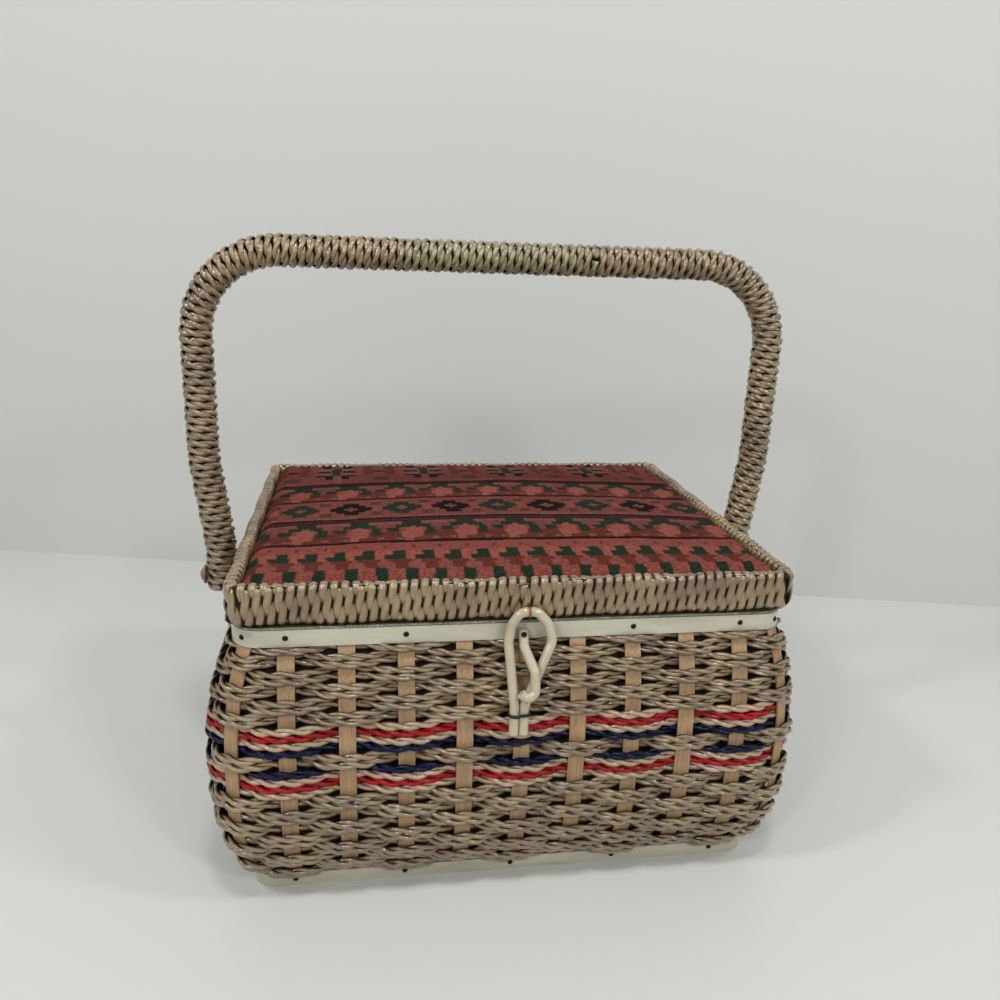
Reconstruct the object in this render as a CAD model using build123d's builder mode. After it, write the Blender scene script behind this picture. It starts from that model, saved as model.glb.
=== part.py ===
"""Woven sewing basket with one hinged padded lid, a wrapped swing handle and a loop-and-hook clasp.

Millimetres, +Z up, the front towards -Y, the origin at the middle of the base on the table.
Every plan outline of the wall is a rounded rectangle whose corner arcs share one centre. The
four centres are the corners of the core rectangle, so a place on the wall is a point of that
rectangle, a direction out of it and a radius. The lid has tighter corners of its own.
"""
from build123d import *
import os
from math import atan2, cos, degrees, floor, pi, radians, sin

# ---- overall sizes -------------------------------------------------------------------------
lid_width = 280.0
lid_depth = 230.0
rim_corner = 9.0  # plan radius of the lid's outer corners
body_top = 146.0  # top of the hoop and of the upper strip
lid_gap = 1.8  # between the body's top and the underside of the lid's rim
rim_height = 21.7
rim_thick = 8.0

# ---- the barrel-shaped wall ----------------------------------------------------------------
core_inset = 17.0  # core rectangle inside the lid's outline
base_tuck = 8.0  # splints inside the lid's outline at the base
neck_tuck = 3.5  # splints inside the lid's outline at the top
belly_bulge = 9.3  # splints outside the lid's outline at the belly
belly_z = 68.0
low_power = 3.0  # how square the wall turns in below the belly
high_power = 2.6  # and above it

# ---- splints and tacks ---------------------------------------------------------------------
splint_width = 8.0
splint_thick = 0.9
splint_foot = 0.6  # splint ends above the table
front_pitch = 28.0
side_pitch = 27.0
strip_thick = 1.0
base_strip_height = 7.5
top_strip_height = 8.5
tack_head_radius = 1.4
tack_head_rise = 0.9
tack_shank_radius = 0.6
tack_length = 4.6
base_tack_z = 4.0
top_tack_drop = 4.0  # below the body's top
bore_length = 2.7  # of the cutter for a tack's hole in a splint

# ---- weave ---------------------------------------------------------------------------------
cord_thick = 3.8
upper_cord_pitch = 3.25
stripe_cord_pitch = 3.7
top_row_cords = 1
upper_rows = 5
lower_rows = 8
row_cords = 2
stripe_cords = 4
row_gap = 0.1
weave_gap = 0.1  # between a cord and the splint that it passes
splint_margin = 0.5  # a cord runs straight this far past a splint's edge

# ---- base, hoop and lining -----------------------------------------------------------------
base_thick = 6.0
hoop_width = 6.0
lining_thick = 1.2
lining_gap = 0.5
floor_pad_thick = 3.0
braid_radius = 0.7

# ---- clearances ----------------------------------------------------------------------------
slip = 0.05  # between pieces that are nailed or glued together
pin_clearance = 0.05  # radial, hinge pins
pivot_clearance = 0.08  # radial, handle pivots
soft_gap = 0.3  # between a soft piece and a neighbour on another body

# ---- hinges --------------------------------------------------------------------------------
hinge_spacing = 170.0
hinge_length = 30.0
knuckle_radius = 2.2
hinge_pin_radius = 1.0
leaf_thick = 0.8
knuckle_count = 5
knuckle_gap = 0.2
hinge_set_back = 2.4  # pin behind the lid's outline
hinge_screw_spacing = 18.0
screw_radius = 0.9
screw_head_radius = 1.7
screw_length = 5.0

# ---- lid -----------------------------------------------------------------------------------
wrap_thick = 1.8
wrap_round = 3.0
board_thick = 3.0
board_drop = 9.5  # top of the lid's board below the rim's crest
crown_rise = 5.0  # the cover's top above the rim's crest
crown_run = 50.0  # from the cover's edge to where its top is flat
crown_steps = 7
shoulder_drop = 4.5  # where the cover turns in, below the rim's crest
shoulder_corner = 5.0
cover_thick = 0.9
lid_lining_thick = 6.0

# ---- handle --------------------------------------------------------------------------------
handle_top = 314.0  # middle of the top bar
leg_lean = 6.3  # upper legs outside the pivots
spacer_length = 1.0  # between a wall washer and the handle's leg
handle_bend = 45.0
handle_core_radius = 5.6
handle_radius = 9.2
grip_length = 106.0
pivot_z = 131.0
leg_tail = 6.5  # leg below the pivot
knee_low_z = 150.0
knee_high_z = 200.0
knee_bend = 60.0
bolt_radius = 2.4
bolt_head_radius = 4.6
bolt_head_rise = 2.4
washer_radius = 5.5
washer_thick = 1.0
nut_across = 8.0
nut_thick = 3.2

# ---- clasp ---------------------------------------------------------------------------------
tube_radius = 2.35
loop_top_z = 153.5
loop_top_half = 4.2
loop_shoulder_z = 147.5
loop_wide_z = 138.5
loop_tie_z = 110.0
loop_end_z = 96.5
loop_top_x = 2.1
loop_shoulder_x = 2.7
loop_wide_x = 3.2
loop_half_width = 10.8
loop_shoulder_half = 9.0
loop_tie_x = -2.9
loop_end_x = -3.3
loop_bend = 5.5
loop_stand = 1.2  # how far the loop's sides stand off the cords
hook_end_rise = 2.0  # hook's upper end above its nail
hook_bend = 3.0
hook_bore_length = 9.4
hook_side_x = 4.0
hook_side_z = 127.5
hook_turn_z = 118.5
hook_low_x = 0.4
hook_low_z = 115.0
hook_tip_x = -3.0
hook_tip_z = 118.3
wire_radius = 0.45
wire_gap = 0.1
wire_depth = 4.0
tie_height = 2.0
wire_corner = 2.4  # radius of the wire's bends
tie_thick = 0.7

# ---- lid stays -----------------------------------------------------------------------------
stay_width = 9.0
stay_thick = 0.5
stay_y = 71.0
stay_slack_z = 108.0  # lowest point of the slack ribbon
stay_loop = 14.0  # between its two sides
stay_seam = 10.0  # length sewn to the lid's lining
stay_turn = 6.8  # radius of the slack ribbon's bends
stay_fold = 2.0  # radius where it meets the lid

# ---- worked out from the sizes above -------------------------------------------------------
core_x = lid_width / 2 - core_inset
core_y = lid_depth / 2 - core_inset
weave_bottom = base_strip_height + row_gap
weave_top = body_top - top_strip_height
lid_bottom = body_top + lid_gap
rim_top = lid_bottom + rim_height
base_radius = core_inset - base_tuck
neck_radius = core_inset - neck_tuck
belly_radius = core_inset + belly_bulge
cord_swing = splint_thick / 2 + weave_gap + cord_thick / 2
base_tack_seat = base_radius + splint_thick / 2 + slip + strip_thick
top_tack_seat = neck_radius + splint_thick / 2 + slip + strip_thick
top_tack_z = body_top - top_tack_drop
hoop_outer = neck_radius - splint_thick / 2 - slip
hoop_inner = hoop_outer - hoop_width
lining_set = cord_swing + cord_thick / 2 + lining_gap  # lining's outside to the splints' middle
hinge_y = lid_depth / 2 + hinge_set_back
hinge_z = body_top + lid_gap / 2
board_top = rim_top - board_drop
board_bottom = board_top - board_thick
cover_top = rim_top + crown_rise
shoulder_z = rim_top - shoulder_drop

os.makedirs("parts", exist_ok=True)


def save(made, name):
    """Label a finished piece and write its STEP file."""
    made.part.label = name
    export_step(made.part, f"parts/{name}.step")


def splint_radius(z):
    """Radius of the middle of the splints at height z: straight foot, belly, straight neck."""
    if z <= base_strip_height:
        return base_radius
    if z >= weave_top:
        return neck_radius
    if z < belly_z:
        reach = (belly_z - z) / (belly_z - base_strip_height)
        return belly_radius - (belly_radius - base_radius) * reach**low_power
    reach = (z - belly_z) / (weave_top - belly_z)
    return belly_radius - (belly_radius - neck_radius) * reach**high_power


def plan(radius, mode=Mode.ADD):
    """A rounded rectangle at one radius from the core rectangle, in the current sketch."""
    RectangleRounded(2 * (core_x + radius), 2 * (core_y + radius), radius, mode=mode)


def plan_ring(inner, outer):
    """The plan between two radii, in the current sketch."""
    plan(outer)
    plan(inner, Mode.SUBTRACT)


def lid_plan(inset, mode=Mode.ADD):
    """The lid's plan, this far inside its outline, in the current sketch."""
    width = lid_width - 2 * inset
    depth = lid_depth - 2 * inset
    RectangleRounded(width, depth, rim_corner - inset, mode=mode)


def lid_plan_ring(outside, inside):
    """The lid's plan between two insets, in the current sketch."""
    lid_plan(outside)
    lid_plan(inside, Mode.SUBTRACT)


def sweep_round(x, y, corner):
    """Sweep the current sketch, which stands at the right side, round these half sizes."""
    with BuildLine() as half_way:
        FilletPolyline((x, 0), (x, y), (-x, y), (-x, 0), radius=corner)
    sweep(path=half_way.line)
    mirror(about=Plane.XZ)


def ring_sweep(radius):
    """Sweep the current sketch, which stands at the right side, round the plan at this radius."""
    sweep_round(core_x + radius, core_y + radius, radius)


# ---- where the splints stand ---------------------------------------------------------------
corner_arc = belly_radius * pi / 2
half_round = 2 * core_x + 2 * core_y + 2 * corner_arc  # half the way round at the belly
front_half_count = floor(core_x / front_pitch)
side_half_count = floor(core_y / side_pitch + 0.5)
front_last = front_half_count * front_pitch
side_first = core_x + corner_arc + core_y - (side_half_count - 0.5) * side_pitch
side_middle = half_round / 2
corner_station = (front_last + side_first) / 2


def place_at(station):
    """Foot point on the core rectangle and outward direction, in degrees, of a place on the wall.

    A station is the way round the belly from the middle of the front, positive to the right.
    """
    if station > half_round:
        station -= 2 * half_round
    along = abs(station)
    back = along > side_middle
    if back:
        along = half_round - along
    if along <= core_x:
        x, y, turn = along, -core_y, -90.0
    elif along <= core_x + corner_arc:
        x, y, turn = core_x, -core_y, -90.0 + degrees((along - core_x) / belly_radius)
    else:
        x, y, turn = core_x, along - core_x - corner_arc - core_y, 0.0
    if back:
        y, turn = -y, -turn
    if station < 0:
        x, turn = -x, 180.0 - turn
    return x, y, turn


def splint_stations():
    """Stations of the splints in order round the wall, from the middle of the front."""
    quarter = [step * front_pitch for step in range(front_half_count + 1)]
    quarter += [corner_station]
    quarter += [side_first + step * side_pitch for step in range(side_half_count)]
    right = quarter + [half_round - station for station in reversed(quarter)]
    return right + [2 * half_round - station for station in reversed(right[1:-1])]


stations = splint_stations()
places = [place_at(station) for station in stations]
corner_places = [place for place in places if place[2] % 90.0 > 0.001]
straight_places = [place for place in places if place not in corner_places]
tacked_straight = [place for place in places[::2] if place not in corner_places]
plain_straight = [place for place in straight_places if place not in tacked_straight]
tacked = tacked_straight + corner_places


def stands(chosen, z=0.0):
    """Locations at height z whose X axis points straight out of the wall."""
    return [Location((x, y, z), (0, 0, turn)) for x, y, turn in chosen]


def tack_bores(chosen, z, outer, length):
    """Cut the shank holes of one ring of tacks out of the current part."""
    with Locations(*stands(chosen, z)):
        with Locations((outer - length / 2, 0, 0)):
            Cylinder(
                tack_shank_radius + slip,
                length + 2 * slip,
                rotation=(0, 90, 0),
                mode=Mode.SUBTRACT,
            )


# ---- heights of the woven rows -------------------------------------------------------------
stripe_low = weave_top - (top_row_cords + row_cords * upper_rows) * upper_cord_pitch
stripe_low -= (2 * stripe_cords + row_cords) * stripe_cord_pitch
lower_cord_pitch = (stripe_low - weave_bottom) / (row_cords * lower_rows)


def weave_rows():
    """Rows from the top down: name, low and high z, and whether the row starts in front."""
    rows = []
    high = weave_top
    in_front = False
    plan_of_rows = [("row", top_row_cords, upper_cord_pitch)]
    plan_of_rows += [("row", row_cords, upper_cord_pitch)] * upper_rows
    plan_of_rows += [("upper_stripe", stripe_cords, stripe_cord_pitch)]
    plan_of_rows += [("row", row_cords, stripe_cord_pitch)]
    plan_of_rows += [("lower_stripe", stripe_cords, stripe_cord_pitch)]
    plan_of_rows += [("row", row_cords, lower_cord_pitch)] * lower_rows
    for kind, cords, pitch in plan_of_rows:
        in_front = not in_front
        rows.append((kind, high - cords * pitch, high, in_front))
        high -= cords * pitch
    return rows


rows = weave_rows()
cord_levels = {weave_top}
for kind, low, high, _ in rows:
    cord_levels |= {low}
    if kind != "row":
        cord_levels |= {low + cord * stripe_cord_pitch for cord in range(1, stripe_cords)}
wall_heights = [splint_foot, base_strip_height] + sorted(cord_levels) + [body_top]


def wave(z, in_front, shift):
    """Corners of a woven row at height z, which passes in front of every other splint."""
    points = []
    reach = splint_width / 2 + splint_margin
    middle = splint_radius(z)
    following = stations[1:] + [2 * half_round]
    for count, (station, after) in enumerate(zip(stations, following)):
        side = 1 if (count % 2 == 0) == in_front else -1
        round_corner = places[count] in corner_places
        span = reach * belly_radius / middle if round_corner else reach
        steps = (-1, -0.5, 0, 0.5, 1) if round_corner else (-1, 1)
        stops = [(station + step * span, side * cord_swing) for step in steps]
        stops += [((station + after) / 2, 0.0)]
        for stop, swing in stops:
            x, y, turn = place_at(stop)
            radius = middle + swing + shift
            points.append((x + radius * cos(radians(turn)), y + radius * sin(radians(turn))))
    return points


def woven_band(low, high, in_front):
    """One closed woven band in the current part, between two heights."""
    for shift, mode in ((cord_thick / 2, Mode.ADD), (-cord_thick / 2, Mode.SUBTRACT)):
        faces = []
        for z in (low, high):
            with BuildSketch(Plane.XY.offset(z)) as level:
                with BuildLine():
                    Polyline(*wave(z, in_front, shift), close=True)
                make_face()
            faces.append(level.sketch)
        loft(faces, ruled=True, mode=mode)


# ---- base ----------------------------------------------------------------------------------
board_radius = base_radius - splint_thick / 2 - slip

with BuildPart() as base_board:
    with BuildSketch():
        plan(board_radius)
    extrude(amount=base_thick)
    tack_bores(tacked_straight, base_tack_z, base_tack_seat, tack_length)
save(base_board, "base_board")

with BuildPart() as base_strip:
    with BuildSketch():
        plan_ring(base_tack_seat - strip_thick, base_tack_seat)
    extrude(amount=base_strip_height)
    tack_bores(tacked_straight, base_tack_z, base_tack_seat, tack_length)
save(base_strip, "base_strip")

with BuildPart() as floor_pad:
    with BuildSketch(Plane.XY.offset(base_thick + slip)):
        plan(base_radius - lining_set - lining_thick - slip)
    extrude(amount=floor_pad_thick)
save(floor_pad, "floor_pad")

# ---- splints and tacks ---------------------------------------------------------------------
def splint_profile():
    """The section of a splint along the wall, in the current sketch, seen from its side."""
    outside = [(splint_radius(z) + splint_thick / 2, z) for z in wall_heights]
    inside = [(splint_radius(z) - splint_thick / 2, z) for z in reversed(wall_heights)]
    with BuildLine() as edge:
        Polyline(*outside, *inside, close=True)
    make_face(edge.edges())


def splint_bores(*spots):
    """Cut the tack holes of a splint out of the current part."""
    for z, radius in spots:
        with Locations((radius, 0, z)):
            Cylinder(
                tack_shank_radius + slip,
                bore_length,
                rotation=(0, 90, 0),
                mode=Mode.SUBTRACT,
            )


with BuildPart() as plain_splint:
    with BuildSketch(Plane.XZ) as section:
        splint_profile()
    extrude(section.sketch, amount=splint_width / 2, both=True)

base_spot = (base_tack_z, base_radius)
top_spot = (top_tack_z, neck_radius)

with BuildPart() as tacked_splint:
    add(plain_splint.part)
    splint_bores(base_spot, top_spot)

with BuildPart() as corner_splint:
    with BuildSketch(Plane.XZ.rotated((0, 0, -45))) as section:
        splint_profile()
    revolve(section.sketch, axis=Axis.Z, revolution_arc=90)
    Box(4 * belly_radius, splint_width, 2 * body_top, mode=Mode.INTERSECT)
    splint_bores(top_spot)

with BuildPart() as splints:
    with Locations(*stands(plain_straight)):
        add(plain_splint.part)
    with Locations(*stands(tacked_straight)):
        add(tacked_splint.part)
    with Locations(*stands(corner_places)):
        add(corner_splint.part)
save(splints, "splints")


def dome(seat, radius, rise):
    """A head's round outline in the current line, from its edge at the seat to its crest."""
    ball = (radius**2 + rise**2) / (2 * rise)
    centre = seat + rise - ball
    half_turn = atan2(radius, seat - centre) / 2
    middle = (centre + ball * cos(half_turn), ball * sin(half_turn))
    ThreePointArc((seat, radius), middle, (seat + rise, 0))


with BuildPart() as tack:
    with BuildSketch(Plane.XZ):
        with BuildLine():
            Polyline(
                (tack_head_rise, 0),
                (-tack_length, 0),
                (-tack_length + tack_shank_radius, tack_shank_radius),
                (0, tack_shank_radius),
                (0, tack_head_radius),
            )
            dome(0, tack_head_radius, tack_head_rise)
        make_face()
    revolve(axis=Axis.X)

with BuildPart() as base_tacks:
    with Locations(*stands(tacked_straight, base_tack_z)):
        with Locations((base_tack_seat, 0, 0)):
            add(tack.part)
save(base_tacks, "base_tacks")

with BuildPart() as top_tacks:
    with Locations(*stands(tacked[1:], top_tack_z)):
        with Locations((top_tack_seat, 0, 0)):
            add(tack.part)
save(top_tacks, "top_tacks")

# ---- woven rows ----------------------------------------------------------------------------
pivot_places = [(core_x, 0, 0.0), (-core_x, 0, 180.0)]


def pivot_bores(radius):
    """Cut the two handle bolts' way out of the current part, right through the wall."""
    with Locations(*stands(pivot_places, pivot_z)):
        with Locations((belly_radius, 0, 0)):
            Cylinder(radius, 2 * belly_radius, rotation=(0, 90, 0), mode=Mode.SUBTRACT)


row_count = 0
for kind, low, high, in_front in rows:
    if kind != "row":
        continue
    row_count += 1
    with BuildPart() as weave_row:
        woven_band(low + row_gap / 2, high - row_gap / 2, in_front)
        if low < pivot_z + bolt_radius and high > pivot_z - bolt_radius:
            pivot_bores(bolt_radius + slip)
    save(weave_row, f"weave_row_{row_count:02d}")

stripes = {
    "pale_cords": [("upper_stripe", 3), ("upper_stripe", 1), ("lower_stripe", 2), ("lower_stripe", 0)],
    "red_cords": [("upper_stripe", 2), ("lower_stripe", 1)],
    "navy_cords": [("upper_stripe", 0), ("lower_stripe", 3)],
}
for name, cords in stripes.items():
    with BuildPart() as coloured:
        for stripe, cord in cords:
            low, in_front = [(row[1], row[3]) for row in rows if row[0] == stripe][0]
            cord_low = low + cord * stripe_cord_pitch
            woven_band(cord_low + row_gap / 2, cord_low + stripe_cord_pitch - row_gap / 2, in_front)
    save(coloured, name)

# ---- hoop, upper strip, lining and braid ---------------------------------------------------
hinge_places = [(-hinge_spacing / 2, 0, 0), (hinge_spacing / 2, 0, 0)]
screw_xs = [
    side * hinge_spacing / 2 + end * hinge_screw_spacing / 2 for side in (-1, 1) for end in (-1, 1)
]
body_screw_y = core_y + (hoop_inner + hoop_outer) / 2
lid_screw_y = lid_depth / 2 - rim_thick / 2
body_screw_places = [(x, body_screw_y, body_top + leaf_thick) for x in screw_xs]
lid_screw_places = [(x, lid_screw_y, lid_bottom - leaf_thick) for x in screw_xs]


def screw_bores(spots, direction):
    """Cut straight screw holes from their heads' level, up (1) or down (-1)."""
    with Locations(*[(x, y, z + direction * screw_length / 2) for x, y, z in spots]):
        Cylinder(screw_radius + slip, screw_length + 2 * slip, mode=Mode.SUBTRACT)


with BuildPart() as top_hoop:
    with BuildSketch(Plane.XY.offset(weave_top)):
        plan_ring(hoop_inner, hoop_outer)
    extrude(amount=top_strip_height)
    tack_bores(tacked, top_tack_z, top_tack_seat, tack_length)
    screw_bores(body_screw_places, -1)
save(top_hoop, "top_hoop")

with BuildPart() as top_strip:
    with BuildSketch(Plane.XY.offset(weave_top)):
        plan_ring(top_tack_seat - strip_thick, top_tack_seat)
    extrude(amount=top_strip_height)
    tack_bores(tacked, top_tack_z, top_tack_seat, tack_length)
save(top_strip, "top_strip")

lining_heights = [base_thick + slip] + [z for z in wall_heights if base_thick < z < weave_top]
lining_heights += [weave_top - slip]

with BuildPart() as lining_wall:
    with BuildSketch(Plane.XZ):
        with BuildLine():
            outside = [(core_x + splint_radius(z) - lining_set, z) for z in lining_heights]
            inside = [(x - lining_thick, z) for x, z in reversed(outside)]
            Polyline(*outside, *inside, close=True)
        make_face()
    ring_sweep(belly_radius - lining_set)
    pivot_bores(bolt_radius + slip)
save(lining_wall, "lining_wall")

with BuildPart() as edge_braid:
    braid_radius_out = top_tack_seat - strip_thick / 2
    with BuildSketch(Plane.XZ):
        with Locations((core_x + braid_radius_out, body_top + slip + braid_radius)):
            Circle(braid_radius)
    ring_sweep(braid_radius_out)
    with Locations(*[(x, core_y + braid_radius_out, body_top) for x, _, _ in hinge_places]):
        Box(hinge_length + 2 * knuckle_gap, 2 * rim_thick, 8 * braid_radius, mode=Mode.SUBTRACT)
save(edge_braid, "edge_braid")

# ---- hinges --------------------------------------------------------------------------------
knuckle_pitch = hinge_length / knuckle_count
plate_back = hinge_y - knuckle_radius - knuckle_gap
plate_front = core_y + hoop_inner + slip


def hinge_leaves(plate_z, knuckles, screw_y, head_at_top):
    """A pair of leaves in the current part: flat plates, and every other knuckle with its tab."""
    for x, _, _ in hinge_places:
        with BuildSketch(Plane.XY.offset(plate_z)) as plate:
            with Locations((x, (plate_front + plate_back) / 2)):
                Rectangle(hinge_length, plate_back - plate_front)
            for knuckle in knuckles:
                knuckle_x = x - hinge_length / 2 + (knuckle + 0.5) * knuckle_pitch
                with Locations((knuckle_x, (plate_back + hinge_y) / 2)):
                    Rectangle(knuckle_pitch - knuckle_gap, hinge_y - plate_back)
        extrude(plate.sketch, amount=leaf_thick)
        for knuckle in knuckles:
            knuckle_x = x - hinge_length / 2 + (knuckle + 0.5) * knuckle_pitch
            with Locations((knuckle_x, hinge_y, hinge_z)):
                Cylinder(knuckle_radius, knuckle_pitch - knuckle_gap, rotation=(0, 90, 0))
    with Locations(*[(x, hinge_y, hinge_z) for x, _, _ in hinge_places]):
        Cylinder(
            hinge_pin_radius + pin_clearance,
            hinge_length,
            rotation=(0, 90, 0),
            mode=Mode.SUBTRACT,
        )
    radii = (screw_radius + slip, screw_head_radius + slip)
    bottom, top = radii if head_at_top else reversed(radii)
    with Locations(*[(x, screw_y, plate_z + leaf_thick / 2) for x in screw_xs]):
        Cone(bottom, top, leaf_thick, mode=Mode.SUBTRACT)


with BuildPart() as body_leaves:
    hinge_leaves(body_top, (0, 2, 4), body_screw_y, True)
save(body_leaves, "hinge_leaves_body")

with BuildPart() as lid_leaves:
    hinge_leaves(lid_bottom - leaf_thick, (1, 3), lid_screw_y, False)
save(lid_leaves, "hinge_leaves_lid")

with BuildPart() as hinge_pins:
    with Locations(*[(x, hinge_y, hinge_z) for x, _, _ in hinge_places]):
        Cylinder(hinge_pin_radius, hinge_length, rotation=(0, 90, 0))
save(hinge_pins, "hinge_pins")

with BuildPart() as screw:
    with BuildSketch(Plane.XZ):
        with BuildLine():
            Polyline(
                (0, 0),
                (screw_head_radius, 0),
                (screw_radius, -leaf_thick),
                (screw_radius, -screw_length + screw_radius),
                (0, -screw_length),
                close=True,
            )
        make_face()
    revolve(axis=Axis.Z)

with BuildPart() as body_screws:
    with Locations(*body_screw_places):
        add(screw.part)
save(body_screws, "hinge_screws_body")

with BuildPart() as lid_screws:
    with Locations(*[Location(spot, (180, 0, 0)) for spot in lid_screw_places]):
        add(screw.part)
save(lid_screws, "hinge_screws_lid")

# ---- lid -----------------------------------------------------------------------------------
rim_middle = rim_thick / 2  # middle of the rim inside the lid's outline
rim_mid_z = lid_bottom + rim_height / 2
frame_width = rim_thick - 2 * wrap_thick
frame_height = rim_height - 2 * wrap_thick
rim_face_y = -lid_depth / 2


def wire_spots(radius):
    """Cut the two holes of the clasp's wire out of the current part."""
    reach = tube_radius + wire_gap + wire_radius
    for z in (loop_top_z - reach, loop_top_z + reach):
        with Locations((loop_top_x, rim_face_y, z)):
            Cylinder(radius, 2 * wire_depth, rotation=(90, 0, 0), mode=Mode.SUBTRACT)


with BuildPart() as lid_frame:
    with BuildSketch(Plane.XY.offset(lid_bottom + wrap_thick)):
        lid_plan_ring(rim_middle - frame_width / 2, rim_middle + frame_width / 2)
    extrude(amount=frame_height)
    screw_bores(lid_screw_places, 1)
    wire_spots(wire_radius + slip)
save(lid_frame, "lid_frame")

with BuildPart() as rim_wrap:
    with BuildSketch(Plane.XZ):
        with Locations((lid_width / 2 - rim_middle, rim_mid_z)):
            RectangleRounded(rim_thick, rim_height, wrap_round)
    sweep_round(lid_width / 2 - rim_middle, lid_depth / 2 - rim_middle, rim_corner - rim_middle)
    with BuildSketch(Plane.XY.offset(lid_bottom + wrap_thick - slip)):
        lid_plan_ring(rim_middle - frame_width / 2 - slip, rim_middle + frame_width / 2 + slip)
    extrude(amount=frame_height + 2 * slip, mode=Mode.SUBTRACT)
    screw_bores(lid_screw_places, 1)
    wire_spots(wire_radius + slip)
save(rim_wrap, "lid_rim_wrap")

with BuildPart() as lid_board:
    with BuildSketch(Plane.XY.offset(board_bottom)):
        lid_plan(rim_thick + slip)
    extrude(amount=board_thick)
save(lid_board, "lid_board")

with BuildPart() as lid_lining:
    with BuildSketch(Plane.XY.offset(board_bottom - slip - lid_lining_thick)):
        width = lid_width - 2 * (rim_thick + slip)
        depth = lid_depth - 2 * (rim_thick + slip)
        RectangleRounded(width, depth, shoulder_corner)
    extrude(amount=lid_lining_thick)
    fillet(lid_lining.edges().group_by(Axis.Z)[0], radius=lid_lining_thick / 2)
save(lid_lining, "lid_lining")


def crown(inside):
    """The padded top in the current part, as a stack of outlines, this far inside the cover."""
    faces = []
    levels = [(0.0, board_top + slip)]
    for step in range(crown_steps + 1):
        turn = pi / 2 * step / crown_steps
        rise = (cover_top - shoulder_z) * sin(turn)
        levels.append((crown_run * (1 - cos(turn)), shoulder_z + rise))
    for run, z in levels:
        width = lid_width - 2 * (rim_thick + slip + inside + run)
        depth = lid_depth - 2 * (rim_thick + slip + inside + run)
        level_z = z if run == 0 and z < shoulder_z else z - inside
        with BuildSketch(Plane.XY.offset(level_z)) as level:
            RectangleRounded(width, depth, shoulder_corner - inside + run / 2)
        faces.append(level.sketch)
    loft(faces, ruled=True)


with BuildPart() as lid_pad:
    crown(cover_thick + slip)
save(lid_pad, "lid_pad")

with BuildPart() as lid_cover:
    crown(0.0)
    add(lid_pad.part, mode=Mode.SUBTRACT)
save(lid_cover, "lid_cover")

# ---- handle --------------------------------------------------------------------------------
pivot_low_radius = splint_radius(pivot_z - washer_radius)
pivot_high_radius = splint_radius(pivot_z + washer_radius)
wall_out = core_x + pivot_low_radius + cord_swing + cord_thick / 2 + slip
wall_in = core_x + pivot_high_radius - lining_set - lining_thick - slip
spacer_start = wall_out + washer_thick + slip
pivot_half_span = spacer_start + spacer_length + slip + handle_radius
handle_half_span = pivot_half_span + leg_lean
leg_out = pivot_half_span + handle_radius + slip
leg_end_z = pivot_z - leg_tail
handle_route = [
    (pivot_half_span, leg_end_z),
    (pivot_half_span, knee_low_z),
    (handle_half_span, knee_high_z),
    (handle_half_span, handle_top),
]
handle_route += [(-x, z) for x, z in reversed(handle_route)]
handle_bends = [knee_bend, knee_bend, handle_bend, handle_bend, knee_bend, knee_bend]


def handle_sweep(radius, mode=Mode.ADD):
    """A round bar of this radius along the whole handle, in the current part."""
    with BuildLine(Plane.XZ) as route:
        FilletPolyline(*handle_route, radius=handle_bends)
    with BuildSketch(Plane.XY.offset(leg_end_z)) as section:
        with Locations((pivot_half_span, 0)):
            Circle(radius)
    sweep(section.sketch, path=route.line, mode=mode)


def handle_bores():
    """Cut the two bolt holes through the legs of the current part."""
    with Locations((-pivot_half_span, 0, pivot_z), (pivot_half_span, 0, pivot_z)):
        Cylinder(
            bolt_radius + pivot_clearance,
            3 * handle_radius,
            rotation=(0, 90, 0),
            mode=Mode.SUBTRACT,
        )


with BuildPart() as handle_core:
    handle_sweep(handle_core_radius)
    handle_bores()
save(handle_core, "handle_core")

with BuildPart() as handle_wrap:
    handle_sweep(handle_radius)
    handle_sweep(handle_core_radius + slip, Mode.SUBTRACT)
    handle_bores()
    with Locations((0, 0, handle_top)):
        Box(grip_length, 3 * handle_radius, 3 * handle_radius, mode=Mode.SUBTRACT)
save(handle_wrap, "handle_wrap")

with BuildPart() as grip_wrap:
    with BuildSketch(Plane.YZ.offset(-grip_length / 2)):
        with Locations((0, handle_top)):
            Circle(handle_radius)
            Circle(handle_core_radius + slip, mode=Mode.SUBTRACT)
    extrude(amount=grip_length)
save(grip_wrap, "handle_grip_wrap")

# ---- handle pivots -------------------------------------------------------------------------
nut_out = wall_in - washer_thick - slip
washer_faces = [wall_in - washer_thick, wall_out, leg_out]


def ring_across(start, length, outer, inner):
    """A ring about each pivot's axis in the current part, from start outwards."""
    with Locations(*stands([(0, 0, 0.0), (0, 0, 180.0)], pivot_z)):
        with Locations((start + length / 2, 0, 0)):
            Cylinder(outer, length, rotation=(0, 90, 0))
            Cylinder(inner, 2 * length, rotation=(0, 90, 0), mode=Mode.SUBTRACT)


with BuildPart() as pivot_washers:
    for face in washer_faces:
        ring_across(face, washer_thick, washer_radius, bolt_radius + slip)
save(pivot_washers, "pivot_washers")

with BuildPart() as pivot_spacers:
    ring_across(spacer_start, spacer_length, washer_radius, bolt_radius + slip)
save(pivot_spacers, "pivot_spacers")

with BuildPart() as pivot_nuts:
    for side in (-1, 1):
        with BuildSketch(Plane.YZ.offset(side * (nut_out - nut_thick / 2))) as nut_face:
            with Locations((0, pivot_z)):
                RegularPolygon(nut_across / 2, 6, major_radius=False)
                Circle(bolt_radius + slip, mode=Mode.SUBTRACT)
        extrude(nut_face.sketch, amount=nut_thick / 2, both=True)
save(pivot_nuts, "pivot_nuts")

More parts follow.
